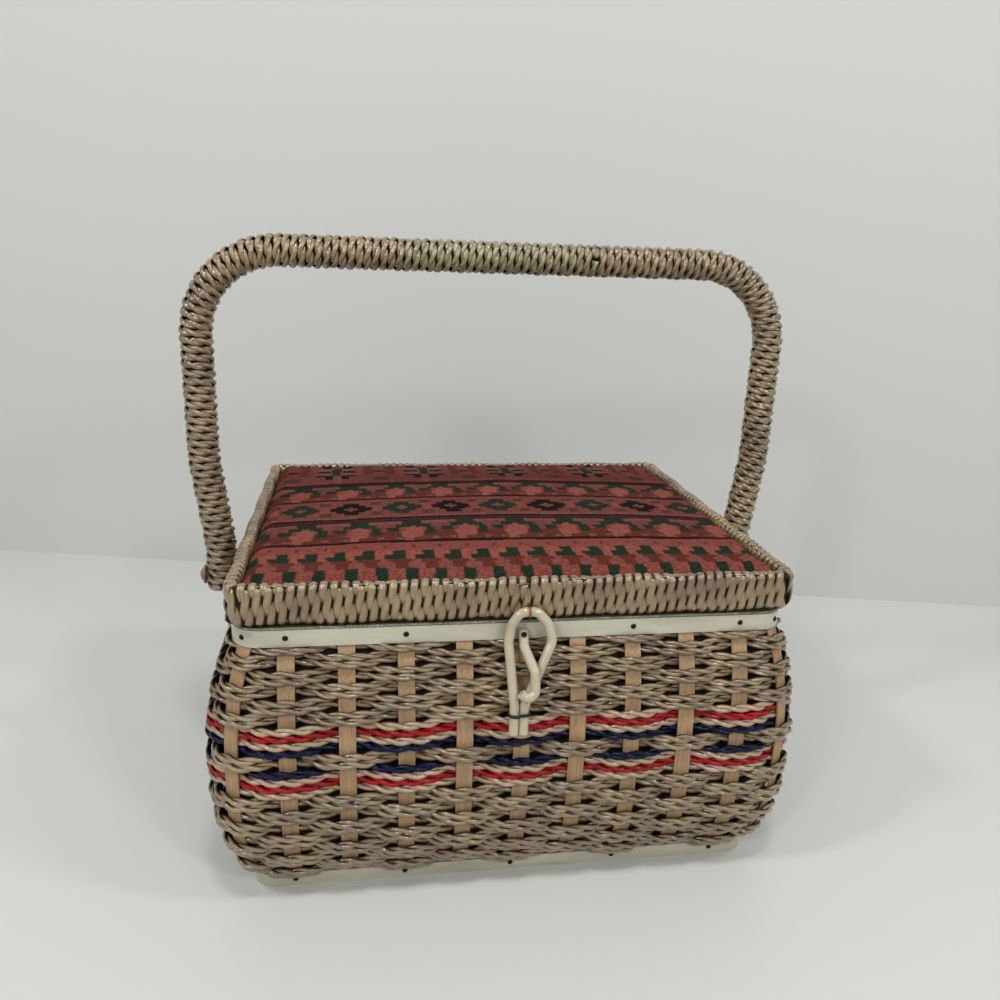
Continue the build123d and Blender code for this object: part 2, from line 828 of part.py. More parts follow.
with BuildPart() as pivot_bolt:
    bolt_start = nut_out - nut_thick
    head_seat = leg_out + washer_thick + slip
    with BuildSketch(Plane.XZ):
        with BuildLine():
            Polyline(
                (head_seat + bolt_head_rise, 0),
                (bolt_start, 0),
                (bolt_start, bolt_radius),
                (head_seat, bolt_radius),
                (head_seat, bolt_head_radius),
            )
            dome(head_seat, bolt_head_radius, bolt_head_rise)
        make_face()
    revolve(axis=Axis.X)

with BuildPart() as pivot_bolts:
    with Locations(*stands([(0, 0, 0.0), (0, 0, 180.0)], pivot_z)):
        add(pivot_bolt.part)
save(pivot_bolts, "pivot_bolts")


# ---- clasp ---------------------------------------------------------------------------------
def front_of_cords(z):
    """Y of the front face of the cords at height z, or of the rim above them."""
    if z > weave_top:
        return -lid_depth / 2
    return -core_y - splint_radius(z) - cord_swing - cord_thick / 2


def strand_y(z, stand=0.0):
    """Y of the middle of a tube that lies on the front at height z, with this much to spare."""
    return front_of_cords(z) - tube_radius - soft_gap - stand


strand_half = tube_radius + slip
loop_side = [
    (loop_end_x, strand_half, loop_end_z, loop_stand),
    (loop_tie_x, strand_half, loop_tie_z, loop_stand),
    (loop_wide_x, loop_half_width, loop_wide_z, loop_stand),
    (loop_shoulder_x, loop_shoulder_half, loop_shoulder_z, loop_stand / 2),
    (loop_top_x, loop_top_half, loop_top_z, 0.0),
]
loop_left = [(x - half, strand_y(z, stand), z) for x, half, z, stand in loop_side]
loop_right = [(x + half, strand_y(z, stand), z) for x, half, z, stand in reversed(loop_side)]


def tube_along(points, bend):
    """A bent tube in the current part through these points."""
    with BuildLine() as route:
        FilletPolyline(*points, radius=bend)
    with BuildSketch(Plane(route.line @ 0, z_dir=route.line % 0)) as section:
        Circle(tube_radius)
    sweep(section.sketch, path=route.line)


with BuildPart() as clasp_loop:
    tube_along([*loop_left, *loop_right], loop_bend)
save(clasp_loop, "clasp_loop")

with BuildPart() as clasp_tie:
    tie_low = Vector(loop_end_x, strand_y(loop_end_z, loop_stand), loop_end_z)
    tie_high = Vector(loop_tie_x, strand_y(loop_tie_z, loop_stand), loop_tie_z)
    tie_way = (tie_high - tie_low).normalized()
    tie_middle = tie_high - tie_way * (loop_bend / 2 + tie_height / 2)
    with BuildSketch(Plane(tie_middle, x_dir=(1, 0, 0), z_dir=tie_way)):
        SlotCenterToCenter(2 * strand_half, 2 * (tube_radius + slip + tie_thick))
        SlotCenterToCenter(2 * strand_half, 2 * (tube_radius + slip), mode=Mode.SUBTRACT)
    extrude(amount=tie_height / 2, both=True)
save(clasp_tie, "clasp_tie")

with BuildPart() as clasp_wire:
    wire_reach = tube_radius + wire_gap + wire_radius
    wire_y = strand_y(loop_top_z)
    wire_route = [
        (loop_top_x, rim_face_y + wire_depth - slip, loop_top_z - wire_reach),
        (loop_top_x, wire_y - wire_reach, loop_top_z - wire_reach),
        (loop_top_x, wire_y - wire_reach, loop_top_z + wire_reach),
        (loop_top_x, rim_face_y + wire_depth - slip, loop_top_z + wire_reach),
    ]
    with BuildLine() as route:
        FilletPolyline(*wire_route, radius=wire_corner)
    with BuildSketch(Plane(route.line @ 0, z_dir=route.line % 0)):
        Circle(wire_radius)
    sweep(path=route.line)
save(clasp_wire, "clasp_wire")

hook_seat_y = -core_y - top_tack_seat - tube_radius - slip
hook_over = -2 * tube_radius - soft_gap
hook_points = [
    (0, hook_seat_y, top_tack_z + hook_end_rise),
    (0, hook_seat_y, top_tack_z - 2 * slip),
    (0, strand_y(weave_top, loop_stand) - soft_gap, weave_top - hook_end_rise / 2),
    (hook_side_x, strand_y(hook_side_z, loop_stand) + hook_over, hook_side_z),
    (hook_side_x, strand_y(hook_turn_z, loop_stand) + hook_over, hook_turn_z),
    (hook_low_x, strand_y(hook_low_z, loop_stand) + hook_over, hook_low_z),
    (hook_tip_x, strand_y(hook_tip_z, loop_stand) + hook_over, hook_tip_z),
]

with BuildPart() as clasp_hook:
    tube_along(hook_points, hook_bend)
    # the nail's hole, and the dent that its head presses into the tube
    head_middle_y = hook_seat_y - tube_radius + slip - hook_bore_length / 2
    for middle_y, radius in ((hook_seat_y, tack_shank_radius), (head_middle_y, tack_head_radius)):
        with Locations((0, middle_y, top_tack_z)):
            Cylinder(
                radius + slip,
                hook_bore_length,
                rotation=(90, 0, 0),
                mode=Mode.SUBTRACT,
            )
save(clasp_hook, "clasp_hook")

with BuildPart() as hook_nail:
    nail_length = tack_length + 2 * tube_radius + slip
    nail_seat = (0, hook_seat_y - tube_radius, top_tack_z)
    with BuildSketch(Plane(nail_seat, x_dir=(0, -1, 0), z_dir=(1, 0, 0))):
        with BuildLine():
            Polyline(
                (tack_head_rise, 0),
                (-nail_length, 0),
                (-nail_length + tack_shank_radius, tack_shank_radius),
                (0, tack_shank_radius),
                (0, tack_head_radius),
            )
            dome(0, tack_head_radius, tack_head_rise)
        make_face()
    revolve(axis=Axis((0, 0, top_tack_z), (0, 1, 0)))
save(hook_nail, "clasp_nail")

# ---- lid stays -----------------------------------------------------------------------------
stay_wall_x = core_x + hoop_inner - soft_gap - stay_thick / 2
stay_lid_x = stay_wall_x - stay_loop
stay_lid_z = board_bottom - slip - lid_lining_thick - soft_gap - stay_thick / 2

with BuildPart() as stay_ribbons:
    for side in (-1, 1):
        with BuildSketch(Plane.XZ.offset(-stay_y)) as ribbon:
            with BuildLine() as way:
                FilletPolyline(
                    (side * stay_wall_x, body_top - slip),
                    (side * stay_wall_x, stay_slack_z),
                    (side * stay_lid_x, stay_slack_z),
                    (side * stay_lid_x, stay_lid_z),
                    (side * (stay_lid_x - stay_seam), stay_lid_z),
                    radius=[stay_turn, stay_turn, stay_fold],
                )
            trace(way.edges(), line_width=stay_thick)
        extrude(ribbon.sketch, amount=stay_width / 2, both=True)
save(stay_ribbons, "stay_ribbons")
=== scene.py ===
"""Woven sewing basket, laid out as an add-on: twisted cord, wood splints, vinyl, brass and cloth.

Metres, +Z up, the front towards -Y. The frame gives the size and place of every piece.
"""

from math import ceil, copysign, cos, floor, hypot, pi, sin, sqrt

import bpy
from mathutils import Matrix, Vector, noise


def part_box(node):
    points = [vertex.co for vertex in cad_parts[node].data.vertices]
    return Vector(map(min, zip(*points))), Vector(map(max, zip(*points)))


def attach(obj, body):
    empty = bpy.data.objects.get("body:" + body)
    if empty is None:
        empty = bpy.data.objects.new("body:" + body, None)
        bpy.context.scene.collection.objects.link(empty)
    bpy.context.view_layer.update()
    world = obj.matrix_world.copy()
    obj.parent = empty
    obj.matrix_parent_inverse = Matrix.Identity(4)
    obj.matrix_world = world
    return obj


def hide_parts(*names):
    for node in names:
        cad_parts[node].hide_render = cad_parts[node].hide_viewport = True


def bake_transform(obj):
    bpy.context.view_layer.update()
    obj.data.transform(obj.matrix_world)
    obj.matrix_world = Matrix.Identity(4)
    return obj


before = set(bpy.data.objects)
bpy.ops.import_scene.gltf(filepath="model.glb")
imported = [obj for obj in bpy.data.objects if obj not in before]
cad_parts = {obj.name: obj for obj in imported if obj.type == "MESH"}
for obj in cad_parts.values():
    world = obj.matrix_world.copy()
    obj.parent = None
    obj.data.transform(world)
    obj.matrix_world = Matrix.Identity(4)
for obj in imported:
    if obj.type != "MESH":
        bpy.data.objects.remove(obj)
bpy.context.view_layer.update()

bl_info = {
    "name": "Woven Sewing Basket",
    "version": (1, 0, 0),
    "blender": (4, 5, 0),
    "location": "View3D > Sidebar > Basket",
    "description": "Dresses the frame of a woven sewing basket with cord, splints and cloth",
    "category": "Object",
}

MM = 0.001

# ---- places that the frame gives ----
def corners_of(node):
    """Lowest and highest corner of a node of the frame."""
    return [Vector(corner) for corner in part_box(node)]


rim_low, rim_high = corners_of("lid_rim_wrap")
base_high = corners_of("base_strip")[1]
strip_low, strip_high = corners_of("top_strip")
grip_low, grip_high = corners_of("handle_grip_wrap")
handle_low, handle_high = corners_of("handle_wrap")
lid_lining_low, lid_lining_high = corners_of("lid_lining")
floor_low, floor_high = corners_of("floor_pad")
lining_low, lining_high = corners_of("lining_wall")
braid_low, braid_high = corners_of("edge_braid")
stay_low, stay_high = corners_of("stay_ribbons")
tie_low, tie_high = corners_of("clasp_tie")

# ---- plan of the wall: corner arcs about the four corners of a core rectangle ----
CORE_INSET = 17 * MM
CORE_X = rim_high.x - CORE_INSET
CORE_Y = rim_high.y - CORE_INSET
BASE_RADIUS = 9 * MM
NECK_RADIUS = 13.5 * MM
BELLY_RADIUS = 26.3 * MM
BELLY_Z = 68 * MM
LOW_POWER = 3.0
HIGH_POWER = 2.6
WEAVE_BOTTOM = base_high.z
WEAVE_TOP = strip_low.z

# ---- cords: how far the plies stand off a cord's middle, and their size, (depth, width) ----
WOVEN_OFFSET, WOVEN_PLY = (0.5, 0.5), (0.6, 0.76)  # shares of its radius and of half its pitch
RIM_OFFSET, RIM_PLY = (0.75 * MM, 1.0 * MM), (1.35 * MM, 2.2 * MM)
HANDLE_OFFSET, HANDLE_PLY = (0.85 * MM, 0.95 * MM), (1.2 * MM, 1.5 * MM)
BRAID_OFFSET, BRAID_PLY = (0.3 * MM, 0.34 * MM), (0.36 * MM, 0.36 * MM)
BRAID_TWIST = -4 * MM  # length of one turn, which goes round the other way
CORD_WANDER, CORD_WANDER_LENGTH = 0.3 * MM, 17 * MM  # in and out of the wall
CORD_RISE, CORD_RISE_LENGTH = 0.5 * MM, 21 * MM
CORD_PHASE = 2.4  # from one cord's twist to the next one's, in radians
RIM_DRIFT, RIM_DRIFT_RATE = 0.25 * MM, 1.7  # out of the bed, and how much it changes in a turn
HANDLE_DRIFT, HANDLE_DRIFT_RATE = 0.2 * MM, 1.3
CORD_STEP = 1.4 * MM
RIM_STEP = 1.5 * MM
HANDLE_STEPS = 26  # rings for each turn round the handle
BRAID_STEP = 0.7 * MM

# ---- lid's rim and cloth ----
RIM_THICK = 8 * MM
RIM_CORNER = 7 * MM  # plan radius of the wound rim's outer corners
RIM_BED = 2.2 * MM  # from the rim's outside to the cord's middle
RIM_BED_ROUND = 1.6 * MM
RIM_PLY_RISE = 0.6 * MM  # a turn's rings are counted this far out of its bed
SEAM_GAP = 0.25 * MM  # from the rim to what is stuffed inside it
CLOTH_STEP = 0.9 * MM
CLOTH_CORNER = 4 * MM
CLOTH_HALF_X = rim_high.x - RIM_THICK - SEAM_GAP
CLOTH_HALF_Y = rim_high.y - RIM_THICK - SEAM_GAP
CLOTH_SEAT_Z = 160.05 * MM
CLOTH_EDGE_Z = 165 * MM
CLOTH_CROWN = 4.5 * MM
ROLL = 8 * MM  # how far in from its edge the cloth rolls over
ROLL_RISE = 4.6 * MM
PUCKER, PUCKER_LENGTH = 0.5 * MM, 7 * MM  # small dents near the cloth's edge
SLACK, SLACK_LENGTH = 0.4 * MM, 45 * MM  # slow hollows over the whole of it

# ---- linings ----
LINING_SET = 4.85 * MM  # from the splints' middle to the card behind the lining
CARD_THICK = 0.5 * MM
CARD_STEP = 4 * MM
CLOTH_SET = LINING_SET + 0.65 * MM
CLOTH_THICK = 0.45 * MM
WALL_STEP = 1.5 * MM
WALL_RISE = 5 * MM
FOLD_PITCH = 9 * MM
FOLD_DEPTH = 1.6 * MM
FOLD_FOOT, FOLD_FOOT_FADE = 10 * MM, 12 * MM  # height where folds start, and how far they grow
FOLD_TOP, FOLD_TOP_FADE = 136 * MM, 9 * MM
PIVOT_CLEAR, PIVOT_FADE = 9 * MM, 12 * MM  # the lining lies flat round the pivots
QUILT = 30 * MM  # seam to seam
QUILT_CORNER = 5 * MM
QUILT_STEP = 1.5 * MM
QUILT_SKIN = 0.1 * MM  # how much thinner a quilt is than the room that it has
LID_SEAM, FLOOR_SEAM = 0.3, 0.35  # a quilt's thickness on its seams, as a share

# ---- stay ribbons, clasp's tie, braid and hinges ----
STAY_WIDTH = 10 * MM
STAY_THICK = 0.5 * MM
STAY_WALL_X = 129.4 * MM
STAY_LID_X = 115.45 * MM
STAY_WALL_TOP = strip_high.z - 0.1 * MM
STAY_LID_TOP = stay_high.z - 1.2 * MM
STAY_TAB = 10 * MM
STAY_STEPS, TAB_STEPS = 48, 8
TIE_RADIUS = 0.33 * MM
TIE_REACH = 2.75 * MM
TIE_LEAN = 0.25  # how far the thread leans back for each unit it goes down
TIE_TURNS, TIE_STEPS = 3, 40
BRAID_SET = 0.7 * MM
HINGE_MIDDLE = 85 * MM
HINGE_HALF = 15.7 * MM

# ---- camera ----
SENSOR = 36.0  # millimetres of film
FOCAL_SHARE = 0.851389  # focal length over the frame's width
CAMERA_PLACE = Vector((-74.392, -483.895, 319.444)) * MM
CAMERA_YAW = 0.163397
CAMERA_PITCH = -0.288180
CAMERA_ROLL = 0.035945
BACKDROP_FOOT = Vector((-320.3, 389.6, 0)) * MM
BACKDROP_WAY = Vector((739.6, -165.8, 0)).normalized()
ROOM_REACH = 4.0  # how far the floor and backdrop run, in metres
FLOOR_FRONT = -3.0
ROOM_LIGHT = 0.44
LIGHT_SIZE = 0.16
LIGHT_AIM = Vector((0, 0, 0.1))
LIGHTS = (  # name, place in metres, watts
    ("window", (-0.9, -0.4, 1.2), 5.0),
    ("window_low", (-0.6, -0.9, 0.8), 2.8),
    ("skylight", (0.0, -0.5, 1.5), 4.4),
    ("room_light", (0.9, -0.5, 1.2), 3.8),
    ("room_low", (0.5, -1.0, 0.8), 2.8),
)

# ---- splints and rows of the weave ----
SPLINT_WIDTH = 8 * MM
FRONT_PITCH = 28 * MM
SIDE_PITCH = 27 * MM
UPPER_PITCH = 3.25 * MM
STRIPE_PITCH = 3.7 * MM
UPPER_ROWS = 5
LOWER_ROWS = 8
ROW_CORDS = 2
STRIPE_CORDS = 4
ROW_GAP = 0.1 * MM
CORD_SWING = 2.45 * MM
SPLINT_MARGIN = 0.5 * MM

CORNER_ARC = BELLY_RADIUS * pi / 2
HALF_ROUND = 2 * CORE_X + 2 * CORE_Y + 2 * CORNER_ARC


# ---- sizes and colours that a user would change ----
def srgb(code):
    """Linear red, green and blue of an sRGB hex colour."""
    channels = [int(code[place : place + 2], 16) / 255 for place in (1, 3, 5)]
    return tuple(c / 12.92 if c <= 0.04045 else ((c + 0.055) / 1.055) ** 2.4 for c in channels)


def darker(colour, share):
    """A share of a colour's light."""
    return [share * channel for channel in colour]


def length_property(name, description, default):
    return bpy.props.FloatProperty(
        name=name, description=description, default=default, min=0.0, unit="LENGTH", precision=5
    )


def colour_property(name, description, code):
    return bpy.props.FloatVectorProperty(
        name=name, description=description, default=srgb(code), subtype="COLOR", min=0.0, max=1.0
    )


class BasketSizes(bpy.types.PropertyGroup):
    """Sizes of the cords and wraps."""

    cord_radius: length_property("Cord radius", "Half the thickness of a woven cord", 1.9 * MM)
    twist_length: length_property("Twist length", "Length of one turn of a cord", 20 * MM)
    rim_pitch: length_property("Rim pitch", "From one turn of the rim's cord to the next", 5.2 * MM)
    rim_twist: length_property("Rim twist", "Length of one turn of the rim's cord", 19 * MM)
    handle_twist: length_property("Handle twist", "Length of one turn of its cord", 17 * MM)
    handle_pitch: length_property("Handle pitch", "From one turn on the handle to the next", 4.3 * MM)


class BasketColours(bpy.types.PropertyGroup):
    """Colours of the cords, splints, vinyl and cloth."""

    cord: colour_property("Cord", "Natural cord", "#9c8459")
    cord_dark: colour_property("Cord, dark", "Darker lengths of natural cord", "#70573a")
    cord_pale: colour_property("Pale cord", "Pinkish cord in the stripes", "#c09680")
    red: colour_property("Red cord", "Dyed cord", "#b00a12")
    navy: colour_property("Navy cord", "Dyed cord", "#060a34")
    splint: colour_property("Splint", "Wood of the splints", "#b08f69")
    vinyl: colour_property("Vinyl", "Strips", "#bfbba6")
    lining: colour_property("Lining", "Cloth inside the basket and lid", "#3d6a66")
    braid: colour_property("Braid", "Braid under the lid", "#9aa894")
    stay: colour_property("Stays", "Satin ribbons that hold the lid", "#d8ccb0")


# ---- the wall ----
def wall_radius(z):
    """Radius of the middle of the splints at height z."""
    if z <= WEAVE_BOTTOM:
        return BASE_RADIUS
    if z >= WEAVE_TOP:
        return NECK_RADIUS
    if z < BELLY_Z:
        reach = (BELLY_Z - z) / (BELLY_Z - WEAVE_BOTTOM)
        return BELLY_RADIUS - (BELLY_RADIUS - BASE_RADIUS) * reach**LOW_POWER
    reach = (z - BELLY_Z) / (WEAVE_TOP - BELLY_Z)
    return BELLY_RADIUS - (BELLY_RADIUS - NECK_RADIUS) * reach**HIGH_POWER


def place_at(station):
    """Foot on the core rectangle and outward direction of a place, by its way round the belly.

    A station runs from the middle of the front, positive to the right.
    """
    station = (station + HALF_ROUND) % (2 * HALF_ROUND) - HALF_ROUND
    along = abs(station)
    back = along > HALF_ROUND / 2
    if back:
        along = HALF_ROUND - along
    if along <= CORE_X:
        x, y, turn = along, -CORE_Y, -pi / 2
    elif along <= CORE_X + CORNER_ARC:
        x, y, turn = CORE_X, -CORE_Y, -pi / 2 + (along - CORE_X) / BELLY_RADIUS
    else:
        x, y, turn = CORE_X, along - CORE_X - CORNER_ARC - CORE_Y, 0.0
    if back:
        y, turn = -y, -turn
    if station < 0:
        x, turn = -x, pi - turn
    return x, y, turn


def splint_stations():
    """Stations of the splints in order round the wall, from the middle of the front."""
    front_half = floor(CORE_X / FRONT_PITCH)
    side_half = floor(CORE_Y / SIDE_PITCH + 0.5)
    quarter = [step * FRONT_PITCH for step in range(front_half + 1)]
    side_first = CORE_X + CORNER_ARC + CORE_Y - (side_half - 0.5) * SIDE_PITCH
    quarter += [(quarter[-1] + side_first) / 2]
    quarter += [side_first + step * SIDE_PITCH for step in range(side_half)]
    right = quarter + [HALF_ROUND - station for station in reversed(quarter)]
    return right + [2 * HALF_ROUND - station for station in reversed(right[1:-1])]


STATIONS = splint_stations()


def weave_rows():
    """Rows from the top down: kind, heights of its cords, cord pitch, whether it starts in front."""
    stripe_low = WEAVE_TOP - (1 + ROW_CORDS * UPPER_ROWS) * UPPER_PITCH
    stripe_low -= (2 * STRIPE_CORDS + ROW_CORDS) * STRIPE_PITCH
    lower_pitch = (stripe_low - WEAVE_BOTTOM - ROW_GAP) / (ROW_CORDS * LOWER_ROWS)
    order = [("row", 1, UPPER_PITCH)]
    order += [("row", ROW_CORDS, UPPER_PITCH)] * UPPER_ROWS
    order += [("upper_stripe", STRIPE_CORDS, STRIPE_PITCH)]
    order += [("row", ROW_CORDS, STRIPE_PITCH)]
    order += [("lower_stripe", STRIPE_CORDS, STRIPE_PITCH)]
    order += [("row", ROW_CORDS, lower_pitch)] * LOWER_ROWS
    rows, high, in_front = [], WEAVE_TOP, False
    for kind, cords, pitch in order:
        in_front = not in_front
        heights = [high - (cord + 0.5) * pitch for cord in range(cords)]
        rows.append((kind, heights, pitch, in_front))
        high -= cords * pitch
    return rows


def swing_at(station, in_front):
    """How far in front (1) or behind (-1) of the splints a row's cords run at a station."""
    station = station % (2 * HALF_ROUND)
    following = STATIONS[1:] + [2 * HALF_ROUND]
    for count, (near, far) in enumerate(zip(STATIONS, following)):
        if near <= station <= far:
            break
    side = 1 if (count % 2 == 0) == in_front else -1
    reach = SPLINT_WIDTH / 2 + SPLINT_MARGIN
    way = (station - near - reach) / (far - near - 2 * reach)
    way = min(max(way, 0.0), 1.0)
    return side * (1 - 2 * way * way * (3 - 2 * way))


# ---- meshes of cord ----
RING_STEPS = 8
RING = [(cos(2 * pi * k / RING_STEPS), sin(2 * pi * k / RING_STEPS)) for k in range(RING_STEPS)]


def drift(x, y, z, reach):
    """Noise, up to about reach either way; each use of it keeps to its own slice of the field."""
    return noise.noise(Vector((x, y, z))) * reach


def ply_rings(points, outs, offset, ply, twist, phase):
    """Rings round one ply of a twisted cord that follows points, with directions out of its bed.

    offset and ply are (depth, width): how far the ply stands off the cord's middle, and its size.
    """
    rings, way, count = [], 0.0, len(points)
    for place, (point, out) in enumerate(zip(points, outs)):
        ahead = points[(place + 1) % count] if place + 1 < count else points[place]
        behind = points[place - 1] if place else points[0]
        along = (ahead - behind).normalized()
        across = out.cross(along).normalized()
        upright = along.cross(across)
        turn = phase + 2 * pi * way / twist
        middle = point + upright * (offset[0] * cos(turn)) + across * (offset[1] * sin(turn))
        rings.append([middle + upright * (ply[0] * c) + across * (ply[1] * s) for c, s in RING])
        if place + 1 < count:
            way += (points[place + 1] - point).length
    return rings


def two_plies(points, outs, offset, ply, twist, phase=0.0, closed=False):
    """Both plies of a cord, as strands for strand_mesh."""
    return [
        (ply_rings(points, outs, offset, ply, twist, phase + half), closed) for half in (0, pi)
    ]


def solid_mesh(name, corners, faces, smooth=True):
    """A mesh of these corners and faces."""
    mesh = bpy.data.meshes.new(name)
    mesh.from_pydata(corners, [], faces)
    if smooth:
        mesh.shade_smooth()
    return mesh


def strand_mesh(name, strands):
    """A mesh of tubes from lists of rings; a closed strand is (rings, True)."""
    corners, faces, ways = [], [], []
    for rings, closed in strands:
        first, count = len(corners), len(rings)
        for ring in rings:
            corners.extend(ring)
        for place in range(count if closed else count - 1):
            near = first + place * RING_STEPS
            far = first + (place + 1) % count * RING_STEPS
            for k in range(RING_STEPS):
                m = (k + 1) % RING_STEPS
                faces.append((near + k, far + k, far + m, near + m))
                ways += [place, k, place + 1, k, place + 1, k + 1, place, k + 1]
        if not closed:
            last = first + (count - 1) * RING_STEPS
            faces.append(tuple(range(first, first + RING_STEPS)))
            faces.append(tuple(reversed(range(last, last + RING_STEPS))))
            ways += [0.0] * (4 * RING_STEPS)
    mesh = solid_mesh(name, corners, faces)
    lay = mesh.uv_layers.new(name="ply_lay")
    lay.data.foreach_set("uv", [way / RING_STEPS for way in ways])
    return mesh


def new_piece(mesh, body, material, *nodes, slot=None):
    """Link a mesh as a piece: what it rides on, its finish, the nodes it stands for; slot is not used.
    """
    piece = bpy.data.objects.new(mesh.name, mesh)
    bpy.context.scene.collection.objects.link(piece)
    mesh.materials.append(material)
    if body:
        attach(piece, body)
    if nodes:
        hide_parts(*nodes)
    return piece


# ---- finishes ----
# Each starts from what the real surface is made of, and is named for that.
FIBRE_ALONG = 0.8  # streaks for each ring's step along a ply
FIBRES_ROUND = 14.0  # streaks round a ply, coarser than the paper's own so that they show
FLANK = (-0.1, 0.8)  # cosine round a ply over which painted shade darkens it away from its front
FLANK_SHADE = 0.08  # what painted shade leaves of a ply's colour on its flanks
CREASE_DEPTH = 0.7 * MM
THREAD = 0.9 * MM
SLUB_LENGTH = 1.7 * MM
COLOUR_A, COLOUR_B, COLOUR_OUT = 6, 7, 2  # a Mix node's sockets for colours
MULTIPLY = {"data_type": "RGBA", "blend_type": "MULTIPLY"}


def add_node(material, kind, settings=None, inputs=None):
    """Add a node: its settings by name, and its inputs as values or as other nodes' outputs."""
    node = material.node_tree.nodes.new(kind)
    for name, value in (settings or {}).items():
        setattr(node, name, value)
    for name, value in (inputs or {}).items():
        socket = node.inputs[name]
        if isinstance(value, bpy.types.NodeSocket):
            material.node_tree.links.new(value, socket)
        elif socket.type == "RGBA":
            socket.default_value = (*value[:3], 1.0)
        else:
            socket.default_value = value
    return node


def empty_finish(name):
    """A material with no nodes; one that is there already is emptied and made again."""
    material = bpy.data.materials.get(name) or bpy.data.materials.new(name)
    material.use_nodes = True
    material.node_tree.nodes.clear()
    return material


def shaded(material, inputs):
    """The material with one Principled shader, which has these inputs."""
    shader = add_node(material, "ShaderNodeBsdfPrincipled", inputs=inputs)
    add_node(material, "ShaderNodeOutputMaterial", inputs={"Surface": shader.outputs["BSDF"]})
    return material


def uneven(material, low, high, vector, scale, detail=3.0, edges=(0.35, 0.65)):
    """A colour that wanders between two, in patches of noise; scale is per metre of vector."""
    tone = add_node(
        material,
        "ShaderNodeTexNoise",
        inputs={"Vector": vector, "Scale": scale, "Detail": detail, "Roughness": 0.6},
    )
    share = add_node(
        material,
        "ShaderNodeMapRange",
        inputs={"Value": tone.outputs["Fac"], "From Min": edges[0], "From Max": edges[1]},
    )
    mixed = {"Factor": share.outputs["Result"], COLOUR_A: low, COLOUR_B: high}
    return add_node(material, "ShaderNodeMix", {"data_type": "RGBA"}, mixed).outputs[COLOUR_OUT]


def roughened(material, vector, detail, strength, depth):
    """A normal that noise over a vector has made uneven."""
    tone = add_node(
        material, "ShaderNodeTexNoise", inputs={"Vector": vector, "Scale": 1.0, "Detail": detail}
    )
    raised = {"Height": tone.outputs["Fac"], "Strength": strength, "Distance": depth}
    return add_node(material, "ShaderNodeBump", inputs=raised).outputs["Normal"]


def stretched(material, spread):
    """Places on a piece, in (x, y, z) lengths of spread."""
    place = add_node(material, "ShaderNodeTexCoord").outputs["Object"]
    inputs = {"Vector": place, "Scale": tuple(1 / length for length in spread)}
    return add_node(material, "ShaderNodeMapping", inputs=inputs).outputs["Vector"]


def twisted_cord_finish(name, colour, dark, patch=30 * MM, fibres=FIBRES_ROUND, gloss=1.0):
    """Lacquered paper rush: a wet shine on each ply, fine fibres along it, uneven colour, and painted
    shade on its flanks.
    """
    material = empty_finish(name)
    lay = add_node(material, "ShaderNodeUVMap", {"uv_map": "ply_lay"}).outputs["UV"]
    # paper folded into a ply shows as fine creases that run along it
    along = {"Vector": lay, "Scale": (FIBRE_ALONG, fibres, 1.0)}
    creases = add_node(material, "ShaderNodeMapping", inputs=along).outputs["Vector"]
    place = add_node(material, "ShaderNodeTexCoord").outputs["Object"]
    streaked = uneven(material, darker(colour, 0.55), colour, creases, 1.0, 2.0, (0.3, 0.6))
    tone = uneven(material, dark, streaked, place, 1 / patch)
    round_ply = add_node(material, "ShaderNodeSeparateXYZ", inputs={"Vector": lay}).outputs["Y"]
    turn = add_node(material, "ShaderNodeMath", {"operation": "MULTIPLY"}, {0: round_ply, 1: 2 * pi})
    facing = add_node(material, "ShaderNodeMath", {"operation": "COSINE"}, {0: turn.outputs[0]})
    over_flank = {"Value": facing.outputs[0], "From Min": FLANK[0], "From Max": FLANK[1]}
    # painted shade darkens a ply's flanks, where it meets its neighbours, and only its open side
    # shines
    painted_flank_shade, shine = (
        add_node(
            material,
            "ShaderNodeMapRange",
            inputs={**over_flank, "To Min": low, "To Max": high},
        ).outputs["Result"]
        for low, high in ((FLANK_SHADE, 1.0), (0.0, gloss))
    )
    mixed = {"Factor": 1.0, COLOUR_A: tone, COLOUR_B: painted_flank_shade}
    return shaded(
        material,
        {
            "Base Color": add_node(material, "ShaderNodeMix", MULTIPLY, mixed).outputs[COLOUR_OUT],
            "Roughness": 0.22,
            "Specular IOR Level": shine,
            "Coat Weight": shine,
            "Coat Roughness": 0.08,
            "Normal": roughened(material, creases, 2.0, 1.0, CREASE_DEPTH),
        },
    )


def grained_finish(name, colour, dark, spread, relief, **shader_inputs):
    """A finish whose colour wanders over (x, y, z) lengths of spread, with the same relief."""
    material = empty_finish(name)
    grain = stretched(material, spread)
    shader_inputs["Base Color"] = uneven(material, dark, colour, grain, 1.0)
    shader_inputs["Normal"] = roughened(material, grain, 3.0, 0.6, relief)
    return shaded(material, shader_inputs)


def printed_cloth_finish(name):
    """Printed tapestry cotton: dull, with a slub in its threads that breaks the print up."""
    material = empty_finish(name)
    ink = add_node(material, "ShaderNodeVertexColor", {"layer_name": "print"}).outputs["Color"]
    # slubs run across the cloth, one thread high and about two threads long
    slub = stretched(material, (SLUB_LENGTH, THREAD, THREAD))
    shade = uneven(material, [0.45] * 3, [1.25] * 3, slub, 1.0, 2.0, (0.3, 0.7))
    mixed = {"Factor": 1.0, COLOUR_A: ink, COLOUR_B: shade}
    return shaded(
        material,
        {
            "Base Color": add_node(material, "ShaderNodeMix", MULTIPLY, mixed).outputs[COLOUR_OUT],
            "Roughness": 0.95,
            "Specular IOR Level": 0.08,
            "Normal": roughened(material, slub, 2.0, 0.6, 0.3 * MM),
        },
    )


def plain_finish(name, code, roughness, metallic=0.0):
    inputs = {"Base Color": srgb(code), "Roughness": roughness, "Metallic": metallic}
    return shaded(empty_finish(name), inputs)


